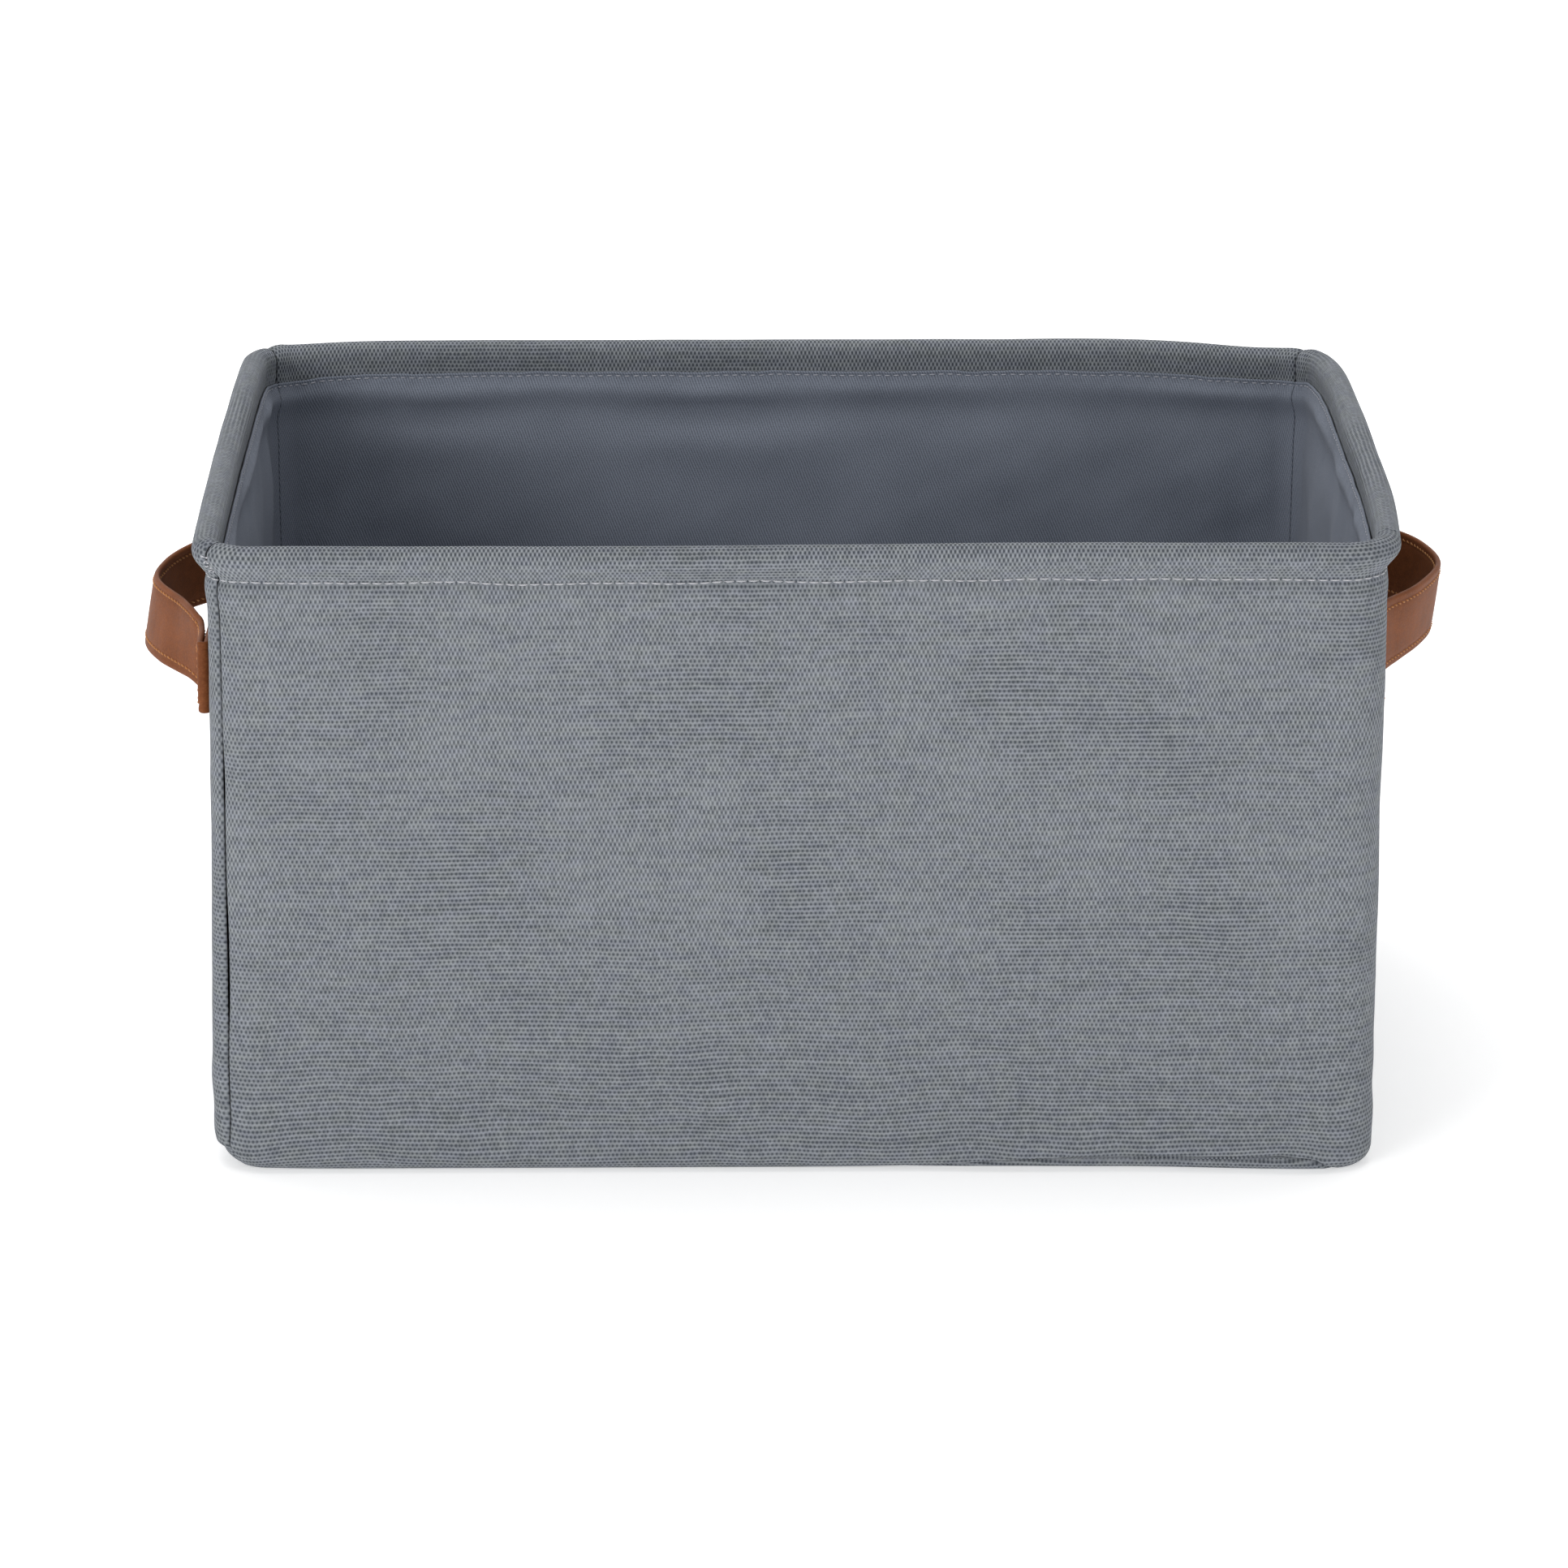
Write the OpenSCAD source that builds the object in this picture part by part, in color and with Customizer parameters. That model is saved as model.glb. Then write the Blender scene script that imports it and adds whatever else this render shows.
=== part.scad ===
// Rectangular fabric storage bin: canvas walls over sewn-in boards, a rolled hem round a steel
// rim wire, a cloth lining, a lift-out base board and two leather strap handles.
// Frame: origin at the middle of the base, +X to the right, +Y to the back, +Z up.

/* [Bin body] */
// Width across the outer faces of the left and right walls
body_w = 400; // [300:5:500]
// Depth across the outer faces of the front and back walls
body_d = 300; // [260:5:400]
// Height from the base to the top of the rim
body_h = 225.3; // [215:0.1:300]
// Radius of the four upright corners, at the outer face
corner_r = 16; // [14:0.5:24]
// Radius of the bend where a wall turns under the base
foot_r = 8; // [7.5:0.25:9]

/* [Cloth and boards] */
// Thickness of the outer canvas
canvas_t = 1.2; // [0.8:0.1:1.3]
// Thickness of the board inside each wall
board_t = 1.8; // [1:0.1:1.8]
// Thickness of the lining cloth
lining_t = 0.5; // [0.3:0.05:0.5]
// Width of the wall cloth that lies flat under the base, past the bend
flange_w = 2; // [1:0.5:2]

/* [Rim] */
// Radius of the rolled hem
rim_r = 4.6; // [4.6:0.05:5]
// Height of the hem, from the top of the rim to its lower stitches
hem_h = 13; // [12:0.5:20]
// Radius of the steel rim wire
wire_r = 2.5; // [1.5:0.1:2.6]
// Length of the crimped sleeve that joins the two ends of the rim wire
sleeve_l = 30; // [20:1:50]

/* [Handles] */
// Width of the strap, which stands upright
strap_w = 26; // [20:0.5:30]
// Thickness of the strap
strap_t = 2; // [1.6:0.1:2.4]
// Height of the middle of the strap above the base
strap_z = 163; // [140:1:170]
// How far the loop of the strap stands out from the wall
loop_out = 31; // [29:0.5:36]
// Radius of the loop, at its outer face
loop_r = 67; // [64:1:72]
// Distance from the middle of the wall to the far end of a sewn strap end
sewn_to = 86; // [80:1:95]

/* [Base insert] */
// Gap between the base insert and the outer face of each wall
insert_gap = 8.5; // [8.5:0.5:12]
// Thickness of the base insert with its cover
insert_t = 3.8; // [3.2:0.1:5]
// Corner radius of the base insert
insert_r = 10; // [9:0.5:16]

/* [Hidden] */
$fn = 64;

// Colours
canvas_colour = [0.51, 0.53, 0.55];
lining_colour = [0.33, 0.35, 0.39];
board_colour = [0.72, 0.61, 0.45];
leather_colour = [0.56, 0.37, 0.28];
core_colour = [0.85, 0.83, 0.78];
steel_colour = [0.70, 0.71, 0.72];
canvas_thread_colour = [0.78, 0.78, 0.80];
leather_thread_colour = [0.74, 0.43, 0.20];

// Turn about Z that brings the right wall round to each wall
RIGHT = 0;
BACK = 90;
LEFT = 180;
FRONT = 270;

// Gaps between the layers of a wall, and between neighbouring panels at a corner seam
layer_gap = 0.2;
seam_angle = 44.8;
thread_gap = 0.05;
thread_t = 0.4;

// Heights of the rim
rim_z = body_h - rim_r;
hem_z = body_h - hem_h;
fold_t = 0.6;
wire_hole_r = wire_r + 0.1;
sleeve_r = wire_r + 0.9;

// Layers of a wall, as distances inward from its outer face
board_face = canvas_t + layer_gap;
lining_face = board_face + board_t + layer_gap;
lining_in = lining_face + lining_t;
foot_in = foot_r + flange_w;

// The lining's own bend, inside the bend of the canvas
lining_foot_z = canvas_t + layer_gap;
lining_foot_r = foot_r - lining_foot_z;
lining_foot_in = lining_face + lining_foot_r;

// Boards stand between the foot bend and the hem stitches
board_z0 = foot_r - 1;
board_z1 = hem_z - 3;
lining_z1 = hem_z + 1.7;

// Handles
wall_gap = 0.3;
half_w = body_w / 2;
strap_z0 = strap_z - strap_w / 2;
loop_x = half_w + loop_out - loop_r;
loop_half = 36;
end_half = loop_half + 0.3;
sewn_from = 54;
sewn_t = 2 * strap_t;
cover_t = 0.5;
core_gap = 0.1;
stitch_in = 3;

// Base insert
insert_z = lining_foot_z + lining_t + 0.3;
insert_w = body_w - 2 * insert_gap;
insert_d = body_d - 2 * insert_gap;
insert_cover_t = 0.6;

// Points along an arc, between two angles
function arc(centre, r, from, to, steps) = [
    for (i = [0:steps])
        let (angle = from + (to - from) * i / steps)
            centre + r * [cos(angle), sin(angle)]
];

// ---- Shapes that repeat ----

module rounded_rect(w, d, r) {
    square([w - 2 * r, d], center = true);
    square([w, d - 2 * r], center = true);
    for (x = [-1, 1], y = [-1, 1]) translate([x * (w / 2 - r), y * (d / 2 - r)]) circle(r);
}

// Straight length of a wall between its corner bends, and the distance of its face from the middle
function wall_length(turn) = (turn == RIGHT || turn == LEFT ? body_d : body_w) - 2 * corner_r;
function wall_distance(turn) = (turn == RIGHT || turn == LEFT ? body_w : body_d) / 2;

// A profile drawn outward from the wall's face (x) and up (y), swept along one wall and half
// way round the corner at each of its ends
module swept_wall(turn) {
    length = wall_length(turn);
    distance = wall_distance(turn);
    rotate([0, 0, turn]) {
        translate([distance, length / 2, 0]) rotate([90, 0, 0]) linear_extrude(length) children();
        for (side = [0, 1])
            mirror([0, side, 0]) translate([distance - corner_r, length / 2, 0])
                rotate_extrude(angle = seam_angle) translate([corner_r, 0]) children();
    }
}

// A profile swept all the way round the bin
module swept_ring() {
    for (turn = [RIGHT, BACK, LEFT, FRONT]) {
        length = wall_length(turn);
        distance = wall_distance(turn);
        rotate([0, 0, turn]) {
            translate([distance, length / 2, 0]) rotate([90, 0, 0]) linear_extrude(length) children();
            translate([distance - corner_r, length / 2, 0])
                rotate_extrude(angle = 90) translate([corner_r, 0]) children();
        }
    }
}

// ---- Outer canvas ----

// Canvas of one wall: under the base, up the face, over the rim wire and down inside as a hem
module panel_profile() {
    fold_in = rim_r - fold_t;
    fold_angle = 180 + acos(fold_in / rim_r);
    wall_angle = 180 + acos(canvas_t / rim_r);
    difference() {
        polygon(concat(
            [[-foot_in, 0]],
            arc([-foot_r, foot_r], foot_r, -90, 0, 8),
            arc([0, rim_z], rim_r, -90, 180, 30),
            [[-rim_r, hem_z], [-fold_in, hem_z]],
            arc([0, rim_z], rim_r, fold_angle, wall_angle, 6),
            arc([-foot_r, foot_r], foot_r - canvas_t, 0, -90, 8),
            [[-foot_in, canvas_t]]
        ));
        translate([0, rim_z]) circle(wire_hole_r);
    }
}

module panel(turn) {
    color(canvas_colour) swept_wall(turn) panel_profile();
}

module front_panel() {
    panel(FRONT);
}

module back_panel() {
    color(canvas_colour) difference() {
        swept_wall(BACK) panel_profile();
        translate([0, body_d / 2, rim_z]) rotate([0, 90, 0])
            cylinder(r = sleeve_r + 0.1, h = sleeve_l + 1, center = true);
    }
}

module left_panel() {
    panel(LEFT);
}

module right_panel() {
    panel(RIGHT);
}

module base_panel() {
    gap = foot_in + layer_gap;
    color(canvas_colour) linear_extrude(canvas_t)
        rounded_rect(body_w - 2 * gap, body_d - 2 * gap, corner_r - gap);
}

// ---- Boards inside the walls ----

module wall_board(turn) {
    length = wall_length(turn) - 2;
    color(board_colour) rotate([0, 0, turn])
        translate([wall_distance(turn) - board_face - board_t, -length / 2, board_z0])
            cube([board_t, length, board_z1 - board_z0]);
}

module front_board() {
    wall_board(FRONT);
}

module back_board() {
    wall_board(BACK);
}

module left_board() {
    wall_board(LEFT);
}

module right_board() {
    wall_board(RIGHT);
}

// ---- Lining ----

module lining_profile() {
    bend = [-lining_foot_in, lining_foot_z + lining_foot_r];
    flange = -lining_foot_in - flange_w;
    polygon(concat(
        [[flange, lining_foot_z]],
        arc(bend, lining_foot_r, -90, 0, 8),
        [[-lining_face, lining_z1], [-lining_in, lining_z1]],
        arc(bend, lining_foot_r - lining_t, 0, -90, 8),
        [[flange, lining_foot_z + lining_t]]
    ));
}

module wall_lining(turn) {
    color(lining_colour) swept_wall(turn) lining_profile();
}

module front_lining() {
    wall_lining(FRONT);
}

module back_lining() {
    wall_lining(BACK);
}

module left_lining() {
    wall_lining(LEFT);
}

module right_lining() {
    wall_lining(RIGHT);
}

module base_lining() {
    gap = lining_foot_in + flange_w + layer_gap;
    color(lining_colour) translate([0, 0, lining_foot_z]) linear_extrude(lining_t)
        rounded_rect(body_w - 2 * gap, body_d - 2 * gap, corner_r - gap);
}

// ---- Rim ----

// One bent wire whose two ends meet inside the sleeve, at the middle of the back
module rim_wire() {
    color(steel_colour) difference() {
        swept_ring() translate([0, rim_z]) circle(wire_r);
        translate([0, body_d / 2, rim_z]) cube([0.6, 3 * wire_r, 3 * wire_r], center = true);
    }
}

module rim_wire_sleeve() {
    color(steel_colour) translate([0, body_d / 2, rim_z]) rotate([0, 90, 0]) difference() {
        cylinder(r = sleeve_r, h = sleeve_l, center = true);
        cylinder(r = wire_r + 0.05, h = sleeve_l + 1, center = true);
    }
}

// The line of stitches round the foot of the hem, outside on the wall and inside on the fold
module rim_thread() {
    stitch_z = hem_z + 1;
    color(canvas_thread_colour) {
        swept_ring() translate([thread_gap, stitch_z]) square([thread_t, thread_t]);
        swept_ring() translate([-rim_r - thread_gap - thread_t, stitch_z]) square([thread_t, thread_t]);
    }
}

// ---- Strap handles: drawn on the right wall and mirrored to the left ----

// Plan of the loop between two distances from the middle of the wall, at two radii
module loop_plan(r_in, r_out, from, to) {
    translate([loop_x, 0]) intersection() {
        difference() {
            circle(r_out, $fn = 128);
            circle(r_in, $fn = 128);
        }
        translate([0, from]) square([loop_r + 1, to - from]);
    }
}

// The leather of the loop, hollow for its core
module strap() {
    inset = cover_t;
    difference() {
        translate([0, 0, strap_z0]) linear_extrude(strap_w)
            loop_plan(loop_r - strap_t, loop_r, -loop_half, loop_half);
        translate([0, 0, strap_z0 + inset]) linear_extrude(strap_w - 2 * inset)
            loop_plan(loop_r - strap_t + inset, loop_r - inset, inset - loop_half, loop_half - inset);
    }
}

// The bonded filler that keeps the strap flat
module strap_core() {
    inset = cover_t + core_gap;
    translate([0, 0, strap_z0 + inset]) linear_extrude(strap_w - 2 * inset)
        loop_plan(loop_r - strap_t + inset, loop_r - inset, inset - loop_half, loop_half - inset);
}

// Two rows of stitches on each face of the loop
module strap_thread() {
    inner_r = loop_r - strap_t - thread_gap;
    outer_r = loop_r + thread_gap;
    for (z = [strap_z0 + stitch_in, strap_z0 + strap_w - stitch_in - thread_t])
        translate([0, 0, z]) linear_extrude(thread_t) {
            loop_plan(inner_r - thread_t, inner_r, -loop_half, loop_half);
            loop_plan(outer_r, outer_r + thread_t, -loop_half, loop_half);
        }
}

// A strap end: the last of the loop, and the doubled end that is sewn flat to the wall
module strap_end() {
    translate([0, 0, strap_z0]) linear_extrude(strap_w) intersection() {
        union() {
            loop_plan(loop_r - strap_t, loop_r, end_half, loop_r);
            translate([half_w + wall_gap, sewn_from]) square([sewn_t, sewn_to - sewn_from]);
        }
        translate([half_w + wall_gap, 0]) square([loop_out, sewn_to]);
    }
}

// The rectangle of stitches that holds one strap end
module end_stitches() {
    low = strap_z0 + stitch_in;
    high = strap_z0 + strap_w - stitch_in;
    near = sewn_from + stitch_in + 2;
    far = sewn_to - stitch_in;
    translate([half_w + wall_gap + sewn_t + thread_gap, 0, 0])
        rotate([90, 0, 90]) linear_extrude(thread_t) difference() {
            translate([near, low]) square([far - near, high - low]);
            translate([near + thread_t, low + thread_t])
                square([far - near - 2 * thread_t, high - low - 2 * thread_t]);
        }
}

module left_front_strap_end() {
    color(leather_colour) mirror([1, 0, 0]) mirror([0, 1, 0]) strap_end();
}

module left_rear_strap_end() {
    color(leather_colour) mirror([1, 0, 0]) strap_end();
}

module right_front_strap_end() {
    color(leather_colour) mirror([0, 1, 0]) strap_end();
}

module right_rear_strap_end() {
    color(leather_colour) strap_end();
}

module strap_end_thread() {
    color(leather_thread_colour)
        for (x = [0, 1], y = [0, 1]) mirror([x, 0, 0]) mirror([0, y, 0]) end_stitches();
}

module left_strap() {
    color(leather_colour) mirror([1, 0, 0]) strap();
}

module left_strap_core() {
    color(core_colour) mirror([1, 0, 0]) strap_core();
}

module left_strap_thread() {
    color(leather_thread_colour) mirror([1, 0, 0]) strap_thread();
}

module right_strap() {
    color(leather_colour) strap();
}

module right_strap_core() {
    color(core_colour) strap_core();
}

module right_strap_thread() {
    color(leather_thread_colour) strap_thread();
}

// ---- Base insert ----

module insert_cover() {
    inside = 2 * insert_cover_t;
    color(lining_colour) translate([0, 0, insert_z]) difference() {
        linear_extrude(insert_t) rounded_rect(insert_w, insert_d, insert_r);
        translate([0, 0, insert_cover_t]) linear_extrude(insert_t - inside)
            rounded_rect(insert_w - inside, insert_d - inside, insert_r - insert_cover_t);
    }
}

module insert_board() {
    inset = insert_cover_t + 0.1;
    color(board_colour) translate([0, 0, insert_z + inset]) linear_extrude(insert_t - 2 * inset)
        rounded_rect(insert_w - 2 * inset, insert_d - 2 * inset, insert_r - inset);
}

front_panel();
back_panel();
left_panel();
right_panel();
base_panel();
front_board();
back_board();
left_board();
right_board();
front_lining();
back_lining();
left_lining();
right_lining();
base_lining();
rim_wire();
rim_wire_sleeve();
rim_thread();
left_front_strap_end();
left_rear_strap_end();
right_front_strap_end();
right_rear_strap_end();
strap_end_thread();
left_strap();
left_strap_core();
left_strap_thread();
right_strap();
right_strap_core();
right_strap_thread();
insert_board();
insert_cover();
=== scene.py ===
"""Looks of a fabric storage bin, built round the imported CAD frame.

Lengths are in metres in the CAD frame: +X right, +Y back, +Z up, origin under the middle of the base.
The canvas and the lining are each one function of s, the distance round the bin, and t, the distance
up (or down) the cloth, so that panels, seams and stitches all lie on the same surface.
"""

import math

import bmesh
import bpy
import numpy as np
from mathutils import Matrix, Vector


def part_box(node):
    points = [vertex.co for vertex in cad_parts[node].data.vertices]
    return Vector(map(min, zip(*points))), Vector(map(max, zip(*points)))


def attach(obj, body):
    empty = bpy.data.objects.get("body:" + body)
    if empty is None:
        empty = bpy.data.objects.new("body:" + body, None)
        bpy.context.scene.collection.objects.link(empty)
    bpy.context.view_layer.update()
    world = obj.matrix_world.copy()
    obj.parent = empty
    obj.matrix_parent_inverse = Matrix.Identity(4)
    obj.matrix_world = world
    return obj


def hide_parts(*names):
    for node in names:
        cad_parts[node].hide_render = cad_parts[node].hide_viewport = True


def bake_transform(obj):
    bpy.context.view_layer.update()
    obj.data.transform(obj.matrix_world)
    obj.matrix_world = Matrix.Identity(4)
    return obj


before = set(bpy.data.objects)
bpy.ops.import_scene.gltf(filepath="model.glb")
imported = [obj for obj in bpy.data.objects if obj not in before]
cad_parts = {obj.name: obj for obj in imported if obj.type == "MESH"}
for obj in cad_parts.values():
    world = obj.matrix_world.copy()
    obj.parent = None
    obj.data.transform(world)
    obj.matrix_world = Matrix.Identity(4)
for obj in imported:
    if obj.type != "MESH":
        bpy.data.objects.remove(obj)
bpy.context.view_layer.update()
MM = 0.001

# ---- Sizes, read from the CAD frame ----

WIRE_LOW, WIRE_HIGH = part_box("rim_wire")
RIM_Z = (WIRE_LOW.z + WIRE_HIGH.z) / 2
WIRE_R = (WIRE_HIGH.z - WIRE_LOW.z) / 2
HALF_W = WIRE_HIGH.x - WIRE_R
HALF_D = WIRE_HIGH.y - WIRE_R
TOP_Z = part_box("front_panel")[1].z
RIM_R = TOP_Z - RIM_Z
STITCH_Z = RIM_Z - 8.4 * MM
STRAP_LOW, STRAP_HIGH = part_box("right_strap")
STRAP_Z = (STRAP_LOW.z + STRAP_HIGH.z) / 2
STRAP_W = STRAP_HIGH.z - STRAP_LOW.z
INSERT_LOW, INSERT_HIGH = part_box("insert_cover")

CORNER_R = 16 * MM
FOOT_R = 6.5 * MM
FOOT_FLAT = 2 * MM
CANVAS_T = 1.0 * MM
LINING_T = 0.5 * MM
FOLD_EDGE_Z = STITCH_Z - 3.3 * MM
STITCH_PITCH = 4.1 * MM
STRAP_T = 2 * MM
FILLER_W = STRAP_W - 13 * MM
FILLER_T = 0.3 * MM

# ---- Smooth noise, the same on every run ----


def soft_noise(x, y, scale, seed, octaves=3):
    """Smooth noise of about -1 to 1, a sum of plane waves whose wavelengths are near scale."""
    draw = np.random.RandomState(seed)
    total = np.zeros(np.broadcast(x, y).shape)
    weight = 0.0
    for octave in range(octaves):
        for _ in range(4):
            angle, phase = draw.uniform(0, 2 * math.pi, 2)
            k = 2 * math.pi / (scale / 1.8**octave) * draw.uniform(0.7, 1.3)
            total += 0.6**octave * np.sin(k * (math.cos(angle) * x + math.sin(angle) * y) + phase)
        weight += 1.7 * 0.6**octave
    return total / weight


def smoothstep(low, high, x):
    f = np.clip((x - low) / (high - low), 0, 1)
    return f * f * (3 - 2 * f)


def bell(x, centre, width):
    return np.exp(-(((x - centre) / width) ** 2))


def run_length(points):
    """The distance along a row of points, from its first."""
    steps = np.linalg.norm(np.diff(points, axis=0), axis=1)
    return np.concatenate([[0], np.cumsum(steps)])


# ---- The way round the bin: s runs anticlockwise from the middle of the front left corner ----

QUARTER = math.pi / 2 * CORNER_R
LONG = 2 * (HALF_W - CORNER_R)
SHORT = 2 * (HALF_D - CORNER_R)
ROUND = 2 * (LONG + SHORT) + 4 * QUARTER
FRONT_MID = QUARTER / 2 + LONG / 2
CORNER_FR = QUARTER + LONG
CORNER_BR = CORNER_FR + QUARTER + SHORT
CORNER_BL = CORNER_BR + QUARTER + LONG
RIGHT_MID = (CORNER_FR + CORNER_BR) / 2
BACK_MID = (CORNER_BR + CORNER_BL) / 2
LEFT_MID = (CORNER_BL + ROUND) / 2
CORNERS = (0, CORNER_FR, CORNER_BR, CORNER_BL, ROUND)


def past(s, place_round):
    """How far s lies past a place round the bin, less than 0 if it lies before it."""
    return np.mod(s - place_round + ROUND / 2, ROUND) - ROUND / 2


def way_round(s):
    """Point of the wall's outer face and its outward direction, at distance s round the bin."""
    s = np.mod(np.asarray(s, float), ROUND)
    starts = []
    corner_x, corner_y = HALF_W - CORNER_R, HALF_D - CORNER_R
    at = QUARTER / 2
    for length, heading in ((LONG, 0), (SHORT, 90), (LONG, 180), (SHORT, 270)):
        starts.append((at, length, heading))
        at += length + QUARTER
    px, py, nx, ny = (np.zeros_like(s) for _ in range(4))
    centres = {0: (-corner_x, -corner_y), 90: (corner_x, -corner_y),
               180: (corner_x, corner_y), 270: (-corner_x, corner_y)}
    for start, length, heading in starts:
        turn = math.radians(heading)
        out = np.array([math.sin(turn), -math.cos(turn)])
        along = np.array([math.cos(turn), math.sin(turn)])
        first = np.array(centres[heading]) + CORNER_R * out
        on = (s >= start) & (s < start + length)
        d = s - start
        px = np.where(on, first[0] + along[0] * d, px)
        py = np.where(on, first[1] + along[1] * d, py)
        nx, ny = np.where(on, out[0], nx), np.where(on, out[1], ny)
        before = start - QUARTER
        for shift in (0, ROUND):
            on = (s >= before + shift) & (s < start + shift)
            a = turn - math.pi + (s - before - shift) / CORNER_R
            ox, oy = np.cos(a), np.sin(a)
            px = np.where(on, centres[heading][0] + CORNER_R * ox, px)
            py = np.where(on, centres[heading][1] + CORNER_R * oy, py)
            nx, ny = np.where(on, ox, nx), np.where(on, oy, ny)
    return px, py, nx, ny


# The rim's short sides bow outward between its corners, and the walls below follow
BOW_LEFT = 1.0 * MM
BOW_RIGHT = 5 * MM


def bow(px, py, z):
    """How far the short walls stand out in x, at a height."""
    fullness = np.where(px > 0, np.where(py > 0, 6.0, 3.0), 2.0)
    across = np.clip(1 - np.abs(py / HALF_D) ** fullness, 0, 1)
    side = np.where(px > 0, BOW_RIGHT, -BOW_LEFT)
    near = smoothstep(0.75, 1.0, np.abs(px) / HALF_W)
    return side * across * near * smoothstep(110 * MM, 218 * MM, z)


# ---- Cloth profiles: distance out from the wall's face and height, against length of cloth ----


class Profile:
    """A line in (out, z), read by the length along it."""

    def __init__(self, points):
        self.points = np.array(points, float)
        self.length = run_length(self.points)
        self.end = self.length[-1]

    def at(self, t):
        out = np.interp(t, self.length, self.points[:, 0])
        z = np.interp(t, self.length, self.points[:, 1])
        return out, z

    def facing(self, t):
        """The outward direction across the line."""
        step = 0.4 * MM
        a, b = self.at(t - step), self.at(t + step)
        du, dz = b[0] - a[0], b[1] - a[1]
        size = np.maximum(np.hypot(du, dz), 1e-9)
        return dz / size, -du / size

    def where(self, z, after=0.0):
        """The first length past `after` at which the line reaches height z."""
        side = self.points[:, 1] - z
        for i in range(len(side) - 1):
            if self.length[i] >= after and side[i] * side[i + 1] <= 0 and side[i] != side[i + 1]:
                f = side[i] / (side[i] - side[i + 1])
                return self.length[i] + f * (self.length[i + 1] - self.length[i])
        return self.end


def arc(cx, cz, r, start, stop, count=24):
    angles = np.radians(np.linspace(start, stop, count))
    return [(cx + r * math.cos(a), cz + r * math.sin(a)) for a in angles]


def hermite(p0, d0, p1, d1, count=14):
    points = []
    for f in np.linspace(0, 1, count):
        h = (2 * f**3 - 3 * f**2 + 1, f**3 - 2 * f**2 + f, -2 * f**3 + 3 * f**2, f**3 - f**2)
        points.append(tuple(h[0] * p0[k] + h[1] * d0[k] + h[2] * p1[k] + h[3] * d1[k] for k in (0, 1)))
    return points


def canvas_profile():
    """From under the base, up the wall, over the rim wire and down inside."""
    join = math.radians(-30)
    on_roll = (RIM_R * math.cos(join), RIM_Z + RIM_R * math.sin(join))
    pull = 6.5 * MM
    fold_low = (-RIM_R + 1.3 * MM, FOLD_EDGE_Z)
    points = [(-FOOT_R - FOOT_FLAT, 0), (-FOOT_R, 0)]
    points += arc(-FOOT_R, FOOT_R, FOOT_R, -90, 0)[1:]
    points += [(0, z) for z in np.arange(FOOT_R + 2 * MM, STITCH_Z - 2 * MM, 2 * MM)]
    points += hermite((0, STITCH_Z), (0, pull * 0.9), on_roll,
                      (-math.sin(join) * pull, math.cos(join) * pull))
    points += arc(0, RIM_Z, RIM_R, -30, 180, 48)[1:]
    points += hermite((-RIM_R, RIM_Z), (0, -5 * MM), fold_low, (1.2 * MM, -6 * MM))[1:]
    return Profile(points)


CANVAS = canvas_profile()
T_FOOT = CANVAS.where(FOOT_R)
T_STITCH = CANVAS.where(STITCH_Z, 0.1)
T_TOP = T_STITCH + 1.6 * RIM_R

# ---- Seams of the canvas ----


def seam_front_left(z):
    return ROUND + (0.6 - 1.6 * smoothstep(0.03, 0.2, z) - 2.0 * (1 - smoothstep(0.004, 0.022, z))) * MM


def seam_front_right(z):
    return CORNER_FR + 15 * MM + 0 * z


def seam_back_right(z):
    return CORNER_BR + 0.5 * MM + 0 * z


def seam_back_left(z):
    return CORNER_BL - 0.5 * MM + 0 * z



def seam_gap(z):
    """Half the gap between the panels at the front left seam, which opens a little with height."""
    return (0.12 + 0.2 * smoothstep(50 * MM, 120 * MM, z)) * MM


BACK_SEAM_GAP = 0.1 * MM
# How far the edges at the base seam are turned in
SEAM_TUCK = -0.7 * MM
PANELS = {
    "front": (lambda z: seam_front_left(z) - ROUND + seam_gap(z), seam_front_right),
    "right": (seam_front_right, seam_back_right),
    "back": (seam_back_right, lambda z: seam_back_left(z) - BACK_SEAM_GAP),
    "left": (lambda z: seam_back_left(z) + BACK_SEAM_GAP, lambda z: seam_front_left(z) - seam_gap(z)),
}


# The seam to the base panel creeps up into view along the front's right half: x, and how far up the cloth
BASE_SEAM_LINE = ((0, 1.2), (40, 4.5), (69, 8.0), (98, 9.8), (139, 10.2), (158, 10.6), (168, 11.1),
                  (180, 9.6), (188, 3.5), (192, 1.2))


def base_seam(s):
    """How far up the cloth the seam to the base panel runs."""
    x, up = np.array(BASE_SEAM_LINE).T * MM
    return np.interp(s - FRONT_MID, x, up)


def base_seam_shows(s):
    return smoothstep(4 * MM, 9 * MM, base_seam(s))


def seam_depth(s, z):
    """How deep the cloth is drawn in beside the nearest upright seam."""
    depth = 0
    at_hem = smoothstep(STITCH_Z - 4 * MM, STITCH_Z + 2 * MM, z)
    low_down = 1 - smoothstep(40 * MM, 90 * MM, z)
    deep = (2.9 - 1.3 * at_hem - 1.2 * low_down) * MM
    for line, lip in ((seam_front_left, 2.3 * MM), (seam_front_right, 1.2 * MM),
                      (seam_back_right, 1.6 * MM), (seam_back_left, 1.8 * MM)):
        away = np.abs(past(s, line(z)))
        inside = np.clip(1 - away / lip, 0, 1)
        depth = depth + np.minimum(deep, 1.3 * lip) * (1 - np.sqrt(np.maximum(1 - inside**2, 0)))
    return depth


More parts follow.
